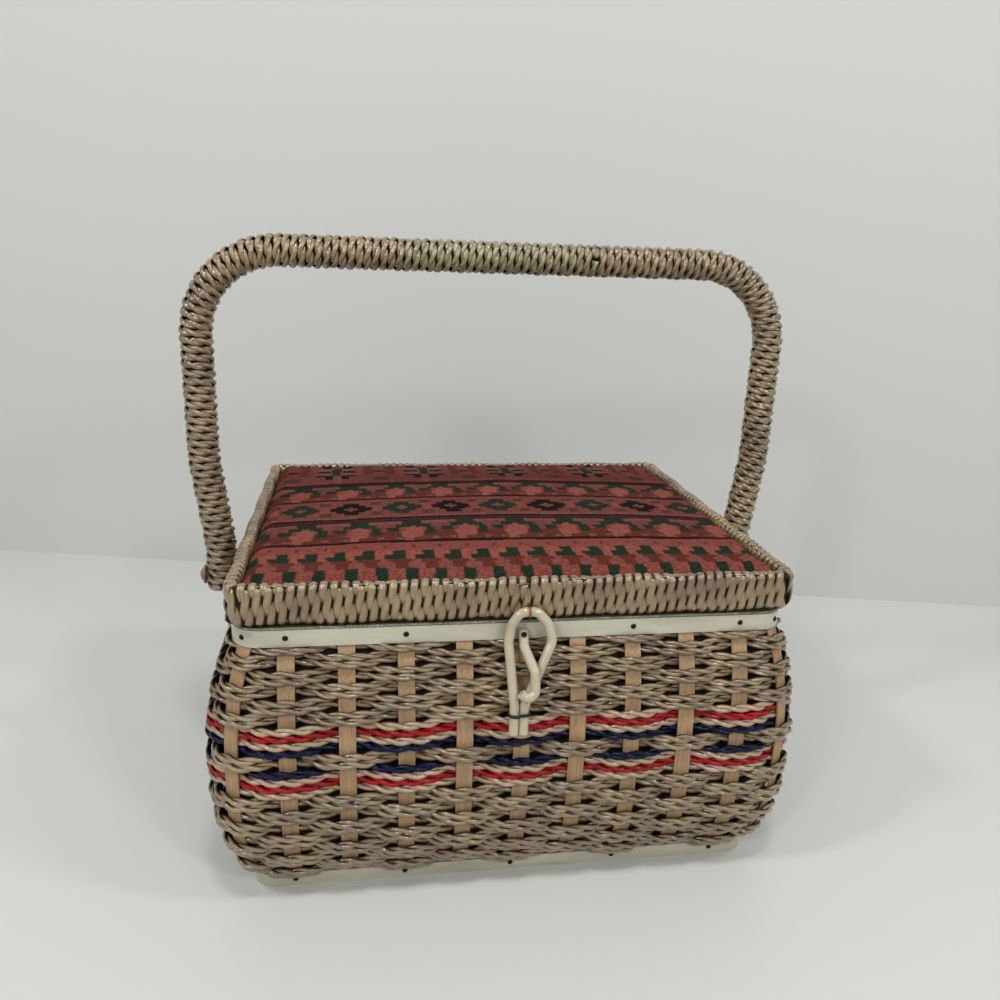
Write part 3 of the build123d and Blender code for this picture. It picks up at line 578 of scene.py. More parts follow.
def dress(node, material):
    """Give a node of the frame its finish."""
    mesh_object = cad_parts[node]
    mesh_object.data.materials.clear()
    mesh_object.data.materials.append(material)


# ---- the weave ----
def woven_cord(sizes, z, pitch, in_front, number):
    """The two plies of one cord that runs right round the wall at height z."""
    radius = wall_radius(z)
    arc = CORNER_ARC * radius / BELLY_RADIUS
    count = round((4 * CORE_X + 4 * CORE_Y + 4 * arc) / CORD_STEP)
    points, outs = [], []
    for step in range(count):
        station = 2 * HALF_ROUND * step / count
        x, y, turn = place_at(station)
        wander = drift(station / CORD_WANDER_LENGTH, number * 7.3, 0.0, CORD_WANDER)
        rise = drift(station / CORD_RISE_LENGTH, number * 3.1, 5.0, CORD_RISE)
        reach = radius + CORD_SWING * swing_at(station, in_front) + wander
        out = Vector((cos(turn), sin(turn), 0.0))
        points.append(Vector((x, y, z + rise)) + out * reach)
        outs.append(out)
    length = sum((points[step] - points[step - 1]).length for step in range(count))
    twist = -length / round(length / sizes.twist_length)
    across = pitch / 2  # rows that lie closer than a cord is thick squeeze it
    offset = (WOVEN_OFFSET[0] * sizes.cord_radius, WOVEN_OFFSET[1] * across)
    ply = (WOVEN_PLY[0] * sizes.cord_radius, WOVEN_PLY[1] * across)
    return two_plies(points, outs, offset, ply, twist, number * CORD_PHASE, True)


class BASKET_OT_weave(bpy.types.Operator):
    """Weave the twisted cords round the wall"""

    bl_idname = "basket.weave"
    bl_label = "Weave the wall"

    def execute(self, context):
        sizes, colours = context.scene.basket_sizes, context.scene.basket_colours
        # natural and pale paper rush: lacquer lies on top and glints along each twist
        natural = twisted_cord_finish("lacquered_paper_rush", colours.cord, colours.cord_dark)
        pale = twisted_cord_finish("pink_paper_rush", colours.cord_pale, colours.cord)
        # dyed rush: the dye has soaked in, so the colour is full and the shine is low
        red, navy = (
            twisted_cord_finish(name, colour, darker(colour, 0.6), gloss=gloss)
            for name, colour, gloss in (
                ("red_dyed_rush", colours.red, 0.2),
                ("navy_dyed_rush", colours.navy, 0.15),
            )
        )
        striped = {"pale_cords": [], "red_cords": [], "navy_cords": []}
        orders = {
            "upper_stripe": ("pale_cords", "red_cords", "pale_cords", "navy_cords"),
            "lower_stripe": ("navy_cords", "pale_cords", "red_cords", "pale_cords"),
        }
        number = row_number = 0
        for kind, heights, pitch, in_front in weave_rows():
            strands = []
            for place, z in enumerate(heights):
                number += 1
                cord = woven_cord(sizes, z, pitch, in_front, number)
                if kind in orders:
                    striped[orders[kind][place]] += cord
                else:
                    strands += cord
            if strands:
                row_number += 1
                node = f"weave_row_{row_number:02d}"
                mesh = strand_mesh(f"cord_row_{row_number:02d}", strands)
                new_piece(mesh, "body", natural, node, slot="rush_cord")
        slots = ("rush_cord", "red_cord", "navy_cord")
        for (node, strands), finish, slot in zip(striped.items(), (pale, red, navy), slots):
            new_piece(strand_mesh("twisted_" + node, strands), "body", finish, node, slot=slot)
        return {"FINISHED"}


def round_plan(half_x, half_y, corner):
    """Length and a function of the way round a rounded rectangle, from the middle of the front.

    The function gives the point and the direction out there.
    """
    flat_x, flat_y, arc = half_x - corner, half_y - corner, corner * pi / 2
    sides = [(flat_x, (0, -flat_y), -pi / 2, False)]
    for corner_x, corner_y, turn, flat in (
        (flat_x, -flat_y, -pi / 2, 2 * flat_y),
        (flat_x, flat_y, 0.0, 2 * flat_x),
        (-flat_x, flat_y, pi / 2, 2 * flat_y),
        (-flat_x, -flat_y, pi, flat_x),
    ):
        foot = (corner_x, corner_y)
        sides += [(arc, foot, turn, True), (flat, foot, turn + pi / 2, False)]

    def at(way):
        way = max(0.0, way)
        for count, (length, foot, turn, bends) in enumerate(sides):
            if way <= length or count == len(sides) - 1:
                break
            way -= length
        if bends:
            turn += way / corner
        out = Vector((cos(turn), sin(turn), 0))
        along = Vector((-sin(turn), cos(turn), 0)) * (0.0 if bends else way)
        return Vector((*foot, 0)) + along + out * corner, out

    return 4 * flat_x + 4 * flat_y + 2 * pi * corner, at


# ---- the rim and the handle ----
class BASKET_OT_rim(bpy.types.Operator):
    """Wind the cord round the lid's rim"""

    bl_idname = "basket.rim"
    bl_label = "Wind the rim"

    def execute(self, context):
        sizes, colours = context.scene.basket_sizes, context.scene.basket_colours
        # the same lacquered rush as the wall's, so it glints in the same way
        finish = twisted_cord_finish("lacquered_rush_wrap", colours.cord, colours.cord_dark)
        half_wide = RIM_THICK / 2 - RIM_BED
        half_high = (rim_high.z - rim_low.z) / 2 - RIM_BED
        girth, section_at = round_plan(half_wide, half_high, RIM_BED_ROUND)
        # a turn starts at the top of the outer side and goes down it first
        section_start = half_wide - RIM_BED_ROUND + RIM_BED_ROUND * pi / 2
        middle_z = (rim_low.z + rim_high.z) / 2
        total, at = round_plan(
            rim_high.x - RIM_THICK / 2, rim_high.y - RIM_THICK / 2, RIM_CORNER - RIM_THICK / 2
        )
        turns = round(total / sizes.rim_pitch)
        steps = round((girth + 2 * pi * RIM_PLY_RISE) / RIM_STEP)
        halves = (("rim_cord_right", 0, turns // 2), ("rim_cord_left", turns // 2, turns))
        for name, first, last in halves:
            points, outs = [], []
            for step in range(first * steps, last * steps + 1):
                foot, away = at(total * step / (turns * steps))
                lift = drift(step / steps * RIM_DRIFT_RATE, 0.0, 3.0, RIM_DRIFT)
                spot, tilt = section_at((section_start + girth * (step % steps) / steps) % girth)
                direction = away * tilt.x - Vector((0, 0, tilt.y))
                rise = Vector((0, 0, middle_z - spot.y))
                points.append(foot + away * spot.x + rise + direction * lift)
                outs.append(direction)
            strands = two_plies(points, outs, RIM_OFFSET, RIM_PLY, -sizes.rim_twist)
            new_piece(strand_mesh(name, strands), "lid", finish, slot="rim_cord")
        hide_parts("lid_rim_wrap")
        return {"FINISHED"}


HANDLE_RADIUS = (grip_high.z - grip_low.z) / 2
HANDLE_TOP = (grip_high.z + grip_low.z) / 2
HANDLE_HALF_SPAN = handle_high.x - HANDLE_RADIUS
PIVOT_HALF_SPAN = 157.18 * MM
PIVOT_Z = 131 * MM
KNEE_LOW = 150 * MM
KNEE_HIGH = 200 * MM
HANDLE_BEND = 45 * MM
KNEE_BEND = 60 * MM
BEND_STEP = 1.0 * MM
HANDLE_BED = HANDLE_RADIUS - 2.05 * MM  # from the handle's middle to its cord's


def handle_line():
    """Points of the handle's middle line, from the left tail to the right."""
    corners = [
        Vector((PIVOT_HALF_SPAN, 0, handle_low.z)),
        Vector((PIVOT_HALF_SPAN, 0, KNEE_LOW)),
        Vector((HANDLE_HALF_SPAN, 0, KNEE_HIGH)),
        Vector((HANDLE_HALF_SPAN, 0, HANDLE_TOP)),
    ]
    left = [Vector((-corner.x, 0, corner.z)) for corner in corners]
    route = left + list(reversed(corners))
    bends = [0, KNEE_BEND, KNEE_BEND, HANDLE_BEND, HANDLE_BEND, KNEE_BEND, KNEE_BEND, 0]
    points = [route[0]]
    for before, corner, after, bend in zip(route, route[1:], route[2:], bends[1:]):
        into, out_of = (corner - before).normalized(), (after - corner).normalized()
        angle = into.angle(out_of)
        cut = bend * sin(angle / 2) / cos(angle / 2)
        start = corner - into * cut
        normal = (out_of - into).normalized()
        centre = corner + normal * (bend / cos(angle / 2))
        pieces = max(2, ceil(angle * bend / BEND_STEP))
        axis = into.cross(out_of)
        for piece in range(pieces + 1):
            turn = Matrix.Rotation(angle * piece / pieces, 3, axis)
            points.append(centre + turn @ (start - centre))
    points.append(route[-1])
    return points


def walk(points, spacing):
    """Points at even spacing along a line of points, each with its direction."""
    lengths = [(b - a).length for a, b in zip(points, points[1:])]
    total = sum(lengths)
    count = round(total / spacing)
    walked, place, passed = [], 0, 0.0
    for step in range(count + 1):
        way = total * step / count
        while place < len(lengths) - 1 and way > passed + lengths[place]:
            passed += lengths[place]
            place += 1
        share = (way - passed) / lengths[place] if lengths[place] else 0.0
        a, b = points[place], points[place + 1]
        walked.append((a.lerp(b, min(share, 1.0)), (b - a).normalized()))
    return walked


class BASKET_OT_handle(bpy.types.Operator):
    """Wind the cord round the handle"""

    bl_idname = "basket.handle"
    bl_label = "Wind the handle"

    def execute(self, context):
        sizes, colours = context.scene.basket_sizes, context.scene.basket_colours
        finish = twisted_cord_finish("lacquered_rush_wrap", colours.cord, colours.cord_dark)
        # rush with a green wash on the grip, in longer patches than on the natural cord
        tinted = twisted_cord_finish(
            "tinted_rush_wrap", srgb("#94895f"), srgb("#807350"), patch=40 * MM
        )
        line = walk(handle_line(), sizes.handle_pitch / HANDLE_STEPS)
        front = Vector((0, -1, 0))
        runs = {"handle_cord": [], "grip_cord": []}
        current, run_name = [], None
        for count, (point, along) in enumerate(line):
            on_grip = abs(point.x) < grip_high.x and point.z > KNEE_HIGH
            name = "grip_cord" if on_grip else "handle_cord"
            if name != run_name:
                current, run_name = [], name
                runs[name].append(current)
            side = along.cross(front)
            turn = -2 * pi * count / HANDLE_STEPS
            lift = drift(count / HANDLE_STEPS * HANDLE_DRIFT_RATE, 0.0, 9.0, HANDLE_DRIFT)
            out = front * cos(turn) + side * sin(turn)
            current.append((point + out * (HANDLE_BED + lift), out))
        for name, finish_of, node, slot in (
            ("handle_cord", finish, "handle_wrap", "rim_cord"),
            ("grip_cord", tinted, "handle_grip_wrap", "grip_cord"),
        ):
            strands = []
            for run in runs[name]:
                points, outs = zip(*run)
                strands += two_plies(points, outs, HANDLE_OFFSET, HANDLE_PLY, -sizes.handle_twist)
            new_piece(strand_mesh(name, strands), "handle", finish_of, node, slot=slot)
        return {"FINISHED"}


# ---- the printed cloth ----
REPEAT = 28.6  # in millimetres, as all lengths of the print are
BLOCK_REPEAT = REPEAT / 2
WIDE_REPEAT = REPEAT * 2
STEP_HIGH = 3.2  # one step of a zigzag
PRINT_SKEW = 0.0385  # the cloth lies a little askew on the lid
SWAY_X, SWAY_X_LENGTH = 1.6, 22  # and its weave wavers
SWAY_Y, SWAY_Y_LENGTH = 1.1, 26
INKS = {
    name: srgb(code)
    for name, code in {
        "salmon": "#87493f",
        "coral": "#7b4138",
        "rose": "#6f3a33",
        "mauve": "#6d4845",
        "green": "#1e2b1e",
        "moss": "#2a2a18",
        "night": "#120c0a",
        "brick": "#5c2a20",
        "maroon": "#3a1612",
        "line": "#1e0a08",
        "tan": "#4d3124",
        "smoke": "#3c2c2a",
    }.items()
}


def apart(x, repeat, first):
    """Signed distance from x to the nearest of first, first + repeat and so on."""
    return (x - first + repeat / 2) % repeat - repeat / 2


def zigzag_ink(x, row):
    """Ink of a stepped zigzag, x from its peak and so many steps down."""
    if row < 1.6:
        return "green" if abs(x) < 5.3 else "mauve" if row < 1 else "rose"
    if row < 3.1:
        if row > 2.3 and abs(x + 0.5) < 1.6:
            return "salmon"
        return "green" if abs(x) < 9 else "rose"
    if row < 5:
        return "salmon" if -5 < x < 4 else "green" if -14.9 < x < -8 or 6 < x < 11 else "rose"
    if row < 6.6:
        return "salmon" if -8 < x < 4 else "moss" if 5 <= x < 11 else "brick"
    if row < 7.7:
        return "salmon" if -7 < x < 3 else "brick"
    if 8 < abs(x) < 11.5 and row < 8.6:
        return "mauve"
    return "salmon" if -7 < x < -2 else "brick"


def block_ink(x, y):
    """Ink of the rows of small blocks along the front edge."""
    block, hook = apart(x, BLOCK_REPEAT, 0), apart(x, BLOCK_REPEAT, -4)
    if y < -99:
        return "green" if abs(block) < 3 else "coral"
    if y < -92:
        if abs(hook) < 3.2:
            return "brick"
        return "mauve" if -7 < hook < 0 and y > -96 else "coral"
    if y < -88.5:
        return "coral" if abs(apart(x, BLOCK_REPEAT, -11)) < 1.8 else "brick"
    if y < -77:
        return "green" if abs(hook) < 3 or (-8 < hook < 3 and y < -83) else "salmon"
    return "brick" if abs(apart(x, BLOCK_REPEAT, 3)) < 1 and -73.5 < y < -70.5 else "coral"


def diamond_ink(x, y):
    """Ink of the middle band: stepped diamonds, green and black in turn."""
    side, rise = abs(apart(x, REPEAT, 2.6)), abs(y + 9.5)
    gap = abs(apart(x, REPEAT, 16.9))
    if side < 1 and rise < 4:
        return "rose"
    if side < 3.4 and rise < 1.2:
        return "mauve"
    if side < (11.2 if rise < 3.2 else 7.8 if rise < 6.6 else 4.2 if rise < 11 else 0):
        return "green" if abs(apart(x, WIDE_REPEAT, 2.6)) < BLOCK_REPEAT else "night"
    if gap < 3.1 and 6.5 < rise < 13:
        return "tan"
    if gap < 2.5:
        return "coral"
    return "mauve" if y < -24.8 else "rose"


MOTIF_BLOCKS = (  # ink, nearest and farthest from the middle line, and from front to back
    ("night", 4, 10, 91, 100),
    ("night", 4.5, 13, 78, 82.5),
    ("night", 3, 8, 60, 70),
    ("night", 8, 13, 67, 71),
    ("moss", 0, 3, 70, 90),
    ("mauve", 0, 12, 84, 90),
    ("mauve", 0, 12, 71, 78),
    ("mauve", 0, 3, 60, 70),
    ("coral", 0, 3, 50, 60),
    ("brick", 18.6, 24.6, 70, 100),
    ("moss", 25.1, 28.6, 77, 83),
    ("tan", 23.6, 28.6, 55, 65),
)


def print_ink(x, y):
    """Linear colour of the print at a point on the cloth, in millimetres from its middle."""
    x += PRINT_SKEW * y + drift(x / SWAY_X_LENGTH, y / SWAY_X_LENGTH, 1.5, SWAY_X)
    y += drift(x / SWAY_Y_LENGTH, y / SWAY_Y_LENGTH, 7.5, SWAY_Y)
    if y < -66.5:
        name = block_ink(x, y)
    elif y < -63.5:
        name = "line"
    elif y < -34.5:
        name = zigzag_ink(apart(x, REPEAT, -22), (-34.5 - y) / STEP_HIGH)
    elif y < -27:
        name = "maroon" if y < -32 else "line"
        if -32 < y < -29.5:
            name = "smoke" if abs(apart(x, 2.4, 0)) < 0.6 else "maroon"
    elif y < 7.5:
        name = diamond_ink(x, y)
    elif y < 10.5:
        name = "line"
    elif y < 40:
        name = zigzag_ink(apart(x, REPEAT, 3.5), (40 - y) / STEP_HIGH)
    elif y < 48:
        name = "maroon" if 42.5 < y < 45.5 else "line"
    else:
        side = abs(apart(x, WIDE_REPEAT, 24.5))
        inks = (
            ink
            for ink, near, far, front, back in MOTIF_BLOCKS
            if near <= side < far and front <= y < back
        )
        name = next(inks, "rose")
    return INKS[name]


# ---- pads, quilts and cloth ----
def panel_mesh(name, half_x, half_y, corner, seat, step, height, ink=None):
    """A closed pad on a rounded rectangle, flat at seat, its other face at height(x, y, inside).

    inside is how far a point lies in from the pad's edge; ink(x, y) colours the face.
    """
    columns, rows = ceil(2 * half_x / step), ceil(2 * half_y / step)
    corners = []
    for row in range(rows + 1):
        for column in range(columns + 1):
            x, y = half_x * (2 * column / columns - 1), half_y * (2 * row / rows - 1)
            over_x, over_y = abs(x) - half_x + corner, abs(y) - half_y + corner
            inside = min(half_x - abs(x), half_y - abs(y))
            if over_x > 0 and over_y > 0:
                share = max(over_x, over_y) / hypot(over_x, over_y)
                inside = corner - max(over_x, over_y)
                x = copysign(half_x - corner + over_x * share, x)
                y = copysign(half_y - corner + over_y * share, y)
            corners.append((x, y, height(x, y, max(inside, 0.0))))
    wide = columns + 1
    faces = [
        (k, k + 1, k + 1 + wide, k + wide)
        for row in range(rows)
        for k in range(row * wide, row * wide + columns)
    ]
    edge = list(range(columns))
    edge += [row * wide + columns for row in range(rows)]
    edge += [rows * wide + column for column in range(columns, 0, -1)]
    edge += [row * wide for row in range(rows, 0, -1)]
    foot = len(corners)
    corners += [(corners[k][0], corners[k][1], seat) for k in edge]
    count = len(edge)
    for k in range(count):
        after = (k + 1) % count
        faces.append((edge[k], foot + k, foot + after, edge[after]))
    faces.append(tuple(foot + k for k in reversed(range(count))))
    if corners[columns // 2 + wide * (rows // 2)][2] < seat:
        faces = [tuple(reversed(face)) for face in faces]
    mesh = solid_mesh(name, corners, faces)
    if ink:
        colours = mesh.color_attributes.new("print", "FLOAT_COLOR", "POINT")
        values = []
        for x, y, _ in corners:
            values += [*ink(x / MM, y / MM), 1.0]
        colours.data.foreach_set("color", values)
    return mesh


def cloth_height(x, y, inside):
    """Height of the lid's stuffed cloth: rolled over at its edge, crowned in the middle."""
    rolled = 1 - (1 - min(inside / ROLL, 1.0)) ** 2
    crown = (1 - (x / CLOTH_HALF_X) ** 2) * (1 - (y / CLOTH_HALF_Y) ** 2)
    near = max(0.0, 1 - inside / (3 * ROLL))
    pucker = drift(x / PUCKER_LENGTH, y / PUCKER_LENGTH, 0.0, PUCKER) * near * rolled
    soft = drift(x / SLACK_LENGTH, y / SLACK_LENGTH, 4.0, SLACK) * rolled
    return CLOTH_EDGE_Z + ROLL_RISE * rolled + CLOTH_CROWN * crown + pucker + soft


def pillow(x, y, inside):
    """How full a diamond quilt is at a point, from 0 on its seams to 1."""
    u, v = (x + y) / sqrt(2), (x - y) / sqrt(2)
    full = (abs(sin(pi * u / QUILT)) * abs(sin(pi * v / QUILT))) ** 0.5
    return full * min(inside / ROLL, 1.0) ** 0.5


def wall_sheet(name, depth_of, thickness, low, high, step, rise):
    """A closed sheet round the inside of the wall, its outside depth_of(station, z) in.

    Returns the mesh and the area of the sheet.
    """
    columns = round(2 * HALF_ROUND / step)
    rows = max(1, round((high - low) / rise))
    corners = []
    for extra in (0.0, thickness):
        for row in range(rows + 1):
            z = low + (high - low) * row / rows
            for column in range(columns):
                station = 2 * HALF_ROUND * column / columns
                x, y, turn = place_at(station)
                reach = wall_radius(z) - depth_of(station, z) - extra
                corners.append((x + cos(turn) * reach, y + sin(turn) * reach, z))
    inner = (rows + 1) * columns
    faces, area = [], 0.0
    for row in range(rows):
        for column in range(columns):
            after = (column + 1) % columns
            a, b = row * columns + column, row * columns + after
            c, d = b + columns, a + columns
            faces.append((a, b, c, d))
            faces.append((d + inner, c + inner, b + inner, a + inner))
            p, q, t = (Vector(corners[k]) for k in (a, b, d))
            area += (q - p).cross(t - p).length
    last = rows * columns
    for column in range(columns):
        after = (column + 1) % columns
        faces.append((column + inner, after + inner, after, column))
        faces.append((last + column, last + after, last + after + inner, last + column + inner))
    return solid_mesh(name, corners, faces), area


def fold_depth(station, z):
    """How far the gathered lining stands in from its lowest: nothing at its edges and pivots."""
    _, y, turn = place_at(station)
    wander = drift(station / (60 * MM), z / (150 * MM), 2.0, 1.4)
    fold = 0.5 + 0.5 * sin(2 * pi * (station / FOLD_PITCH + wander))
    from_pivot = hypot(y + sin(turn) * wall_radius(z), z - PIVOT_Z)
    above = max(0.0, (z - FOLD_FOOT) / FOLD_FOOT_FADE)
    below = max(0.0, (FOLD_TOP - z) / FOLD_TOP_FADE)
    clear = min(1.0, max(0.0, (from_pivot - PIVOT_CLEAR) / PIVOT_FADE))
    return FOLD_DEPTH * fold * min(1.0, above, below) * clear


class BASKET_OT_cloth(bpy.types.Operator):
    """Stuff and quilt the lid's cloth, the linings and the floor pad"""

    bl_idname = "basket.cloth"
    bl_label = "Fit the cloth"

    def execute(self, context):
        colours = context.scene.basket_colours
        printed = printed_cloth_finish("printed_tapestry_cotton")
        # sateen: threads float on its face, so it has a soft sheen and hardly any relief
        lining = grained_finish(
            "lining_sateen",
            colours.lining,
            darker(colours.lining, 0.72),
            (1.1 * MM,) * 3,
            0.12 * MM,
            **{"Roughness": 0.55, "Sheen Weight": 0.2},
        )
        # backing card in the shade behind the weave: matt, and nearly black as painted shade, so that
        # it reads as depth
        card = grained_finish(
            "backing_card_painted_shade",
            *(srgb("#20160e"), srgb("#150e09"), (3 * MM,) * 3, 0.05 * MM),
            Roughness=0.9,
        )
        cloth_size = (CLOTH_HALF_X, CLOTH_HALF_Y, CLOTH_CORNER, CLOTH_SEAT_Z, CLOTH_STEP)
        mesh = panel_mesh("lid_cloth", *cloth_size, cloth_height, print_ink)
        nodes = ("lid_cover", "lid_pad")
        new_piece(mesh, "lid", printed, *nodes, slot="cover_cloth")

        seat = lid_lining_high.z
        deep = seat - lid_lining_low.z - QUILT_SKIN
        mesh = panel_mesh(
            "lid_quilt",
            *(lid_lining_high.x, lid_lining_high.y, QUILT_CORNER, seat, QUILT_STEP),
            lambda x, y, inside: seat - deep * (LID_SEAM + (1 - LID_SEAM) * pillow(x, y, inside)),
        )
        new_piece(mesh, "lid", lining, "lid_lining", slot="lining_cloth")

        floor_seat = floor_low.z
        floor_deep = floor_high.z - floor_seat - QUILT_SKIN
        mesh = panel_mesh(
            "floor_quilt",
            *(floor_high.x, floor_high.y, QUILT_CORNER / 2, floor_seat, QUILT_STEP),
            lambda x, y, inside: floor_seat
            + floor_deep * (FLOOR_SEAM + (1 - FLOOR_SEAM) * pillow(x, y, inside)),
        )
        new_piece(mesh, "body", lining, "floor_pad", slot="lining_cloth")

        low, high = lining_low.z, lining_high.z
        mesh, _ = wall_sheet(
            "lining_card_painted_shade", lambda *_: LINING_SET, CARD_THICK, low, high, CARD_STEP, WALL_RISE
        )
        # a sheet of painted shade behind the gaps in the weave
        new_piece(mesh, "body", card)
        mesh, area = wall_sheet(
            "gathered_lining",
            lambda station, z: CLOTH_SET + fold_depth(station, z),
            *(CLOTH_THICK, low, high, WALL_STEP, WALL_RISE),
        )
        gathered = new_piece(mesh, "body", lining, "lining_wall", slot="lining_cloth")
        return {"FINISHED"}


class BASKET_OT_trims(bpy.types.Operator):
    """Lay the braid, hang the stay ribbons and tie the clasp"""

    bl_idname = "basket.trims"
    bl_label = "Fit the trims"

    def execute(self, context):
        colours = context.scene.basket_colours
        self.braid(colours)
        # satin ribbon: long floats run across its length, which gives it a smooth, silky face
        satin = grained_finish(
            "woven_satin",
            colours.stay,
            darker(colours.stay, 0.8),
            (0.8 * MM, 6 * MM, 0.8 * MM),
            0.05 * MM,
            **{"Roughness": 0.38, "Sheen Weight": 0.2},
        )
        middle_y = (stay_low.y + stay_high.y) / 2
        for side, label, nodes in ((-1, "left", ("stay_ribbons",)), (1, "right", ())):
            ribbon, length = self.ribbon(side, "stay_" + label, middle_y)
            piece = new_piece(ribbon, None, satin, *nodes, slot="stay_satin")
            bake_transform(piece)
        self.tie()
        return {"FINISHED"}

    def braid(self, colours):
        """The braid under the lid's rim, left out where the hinges' leaves lie."""
        # metallised yarn: greenish silver, plied so finely that it glints in points
        silver = twisted_cord_finish(
            "silver_green_braid", colours.braid, srgb("#5d6a5c"), patch=12 * MM, fibres=6.0
        )
        half_x, half_y = braid_high.x - BRAID_SET, braid_high.y - BRAID_SET
        total, at = round_plan(half_x, half_y, half_x - CORE_X)
        count = round(total / BRAID_STEP)
        start = total / 2 - HINGE_MIDDLE
        middle = Vector((0, 0, (braid_low.z + braid_high.z) / 2))
        runs = [[]]
        for step in range(count + 1):
            foot, out = at((start + total * step / count) % total)
            if foot.y < 0 or abs(abs(foot.x) - HINGE_MIDDLE) >= HINGE_HALF:
                runs[-1].append((foot + middle, out))
            elif runs[-1]:
                runs.append([])
        strands = []
        for run in filter(None, runs):
            strands += two_plies(*zip(*run), BRAID_OFFSET, BRAID_PLY, BRAID_TWIST)
        new_piece(strand_mesh("edge_cord", strands), "body", silver, "edge_braid", slot="braid_thread")

    def tie(self):
        """Black thread wound round the two tails of the clasp's loop."""
        # waxed thread: black, with a dull shine where the wax has filled the twist
        thread = grained_finish(
            "waxed_black_thread",
            *(srgb("#1d1a1a"), srgb("#0f0d0d"), (MM,) * 3, 0.05 * MM),
            Roughness=0.45,
        )
        middle = (tie_low + tie_high) / 2
        total, at = round_plan(tie_high.x - middle.x - TIE_RADIUS, TIE_REACH, TIE_REACH * 0.999)
        points, outs = [], []
        for step in range(TIE_TURNS * TIE_STEPS + 1):
            foot, out = at(total * (step % TIE_STEPS) / TIE_STEPS)
            rise = (step / TIE_STEPS - TIE_TURNS / 2) * 2.0 * TIE_RADIUS
            points.append(middle + foot + Vector((0, TIE_LEAN * rise, -rise)))
            outs.append(out)
        rings = ply_rings(points, outs, (0.0, 0.0), (TIE_RADIUS, TIE_RADIUS), 1.0, 0.0)
        mesh = strand_mesh("thread_tie", [(rings, False)])
        new_piece(mesh, "clasp", thread, "clasp_tie", slot="black_thread")

    def ribbon(self, side, name, middle_y):
        """A ribbon that hangs slack from the wall and rises to a tab on the lid, and its length."""
        low_z = stay_low.z + STAY_THICK
        line = []
        for step in range(STAY_STEPS + 1):
            share = step / STAY_STEPS
            top = STAY_WALL_TOP if share < 0.5 else STAY_LID_TOP
            x = STAY_WALL_X + (STAY_LID_X - STAY_WALL_X) * share
            line.append((x, low_z + (top - low_z) * (2 * share - 1) ** 2))
        for step in range(1, TAB_STEPS + 1):
            line.append((STAY_LID_X - STAY_TAB * step / TAB_STEPS, stay_high.z - STAY_THICK / 2))
        length = sum(hypot(b[0] - a[0], b[1] - a[1]) for a, b in zip(line, line[1:]))
        corners, faces = [], []
        for place, (x, z) in enumerate(line):
            before, after = line[max(place - 1, 0)], line[min(place + 1, len(line) - 1)]
            along = Vector((after[0] - before[0], after[1] - before[1])).normalized()
            normal = Vector((-along.y, along.x)) * (STAY_THICK / 2)
            for across, sign in ((-1, 1), (1, 1), (1, -1), (-1, -1)):
                y = middle_y + across * STAY_WIDTH / 2
                corners.append((side * (x + sign * normal.x), y, z + sign * normal.y))
        for place in range(len(line) - 1):
            for k in range(4):
                a, b = 4 * place + k, 4 * place + (k + 1) % 4
                faces.append((a, a + 4, b + 4, b))
        faces += [(0, 1, 2, 3), tuple(4 * (len(line) - 1) + k for k in (3, 2, 1, 0))]
        if side > 0:
            faces = [tuple(reversed(face)) for face in faces]
        return solid_mesh(name, corners, faces, smooth=False), length


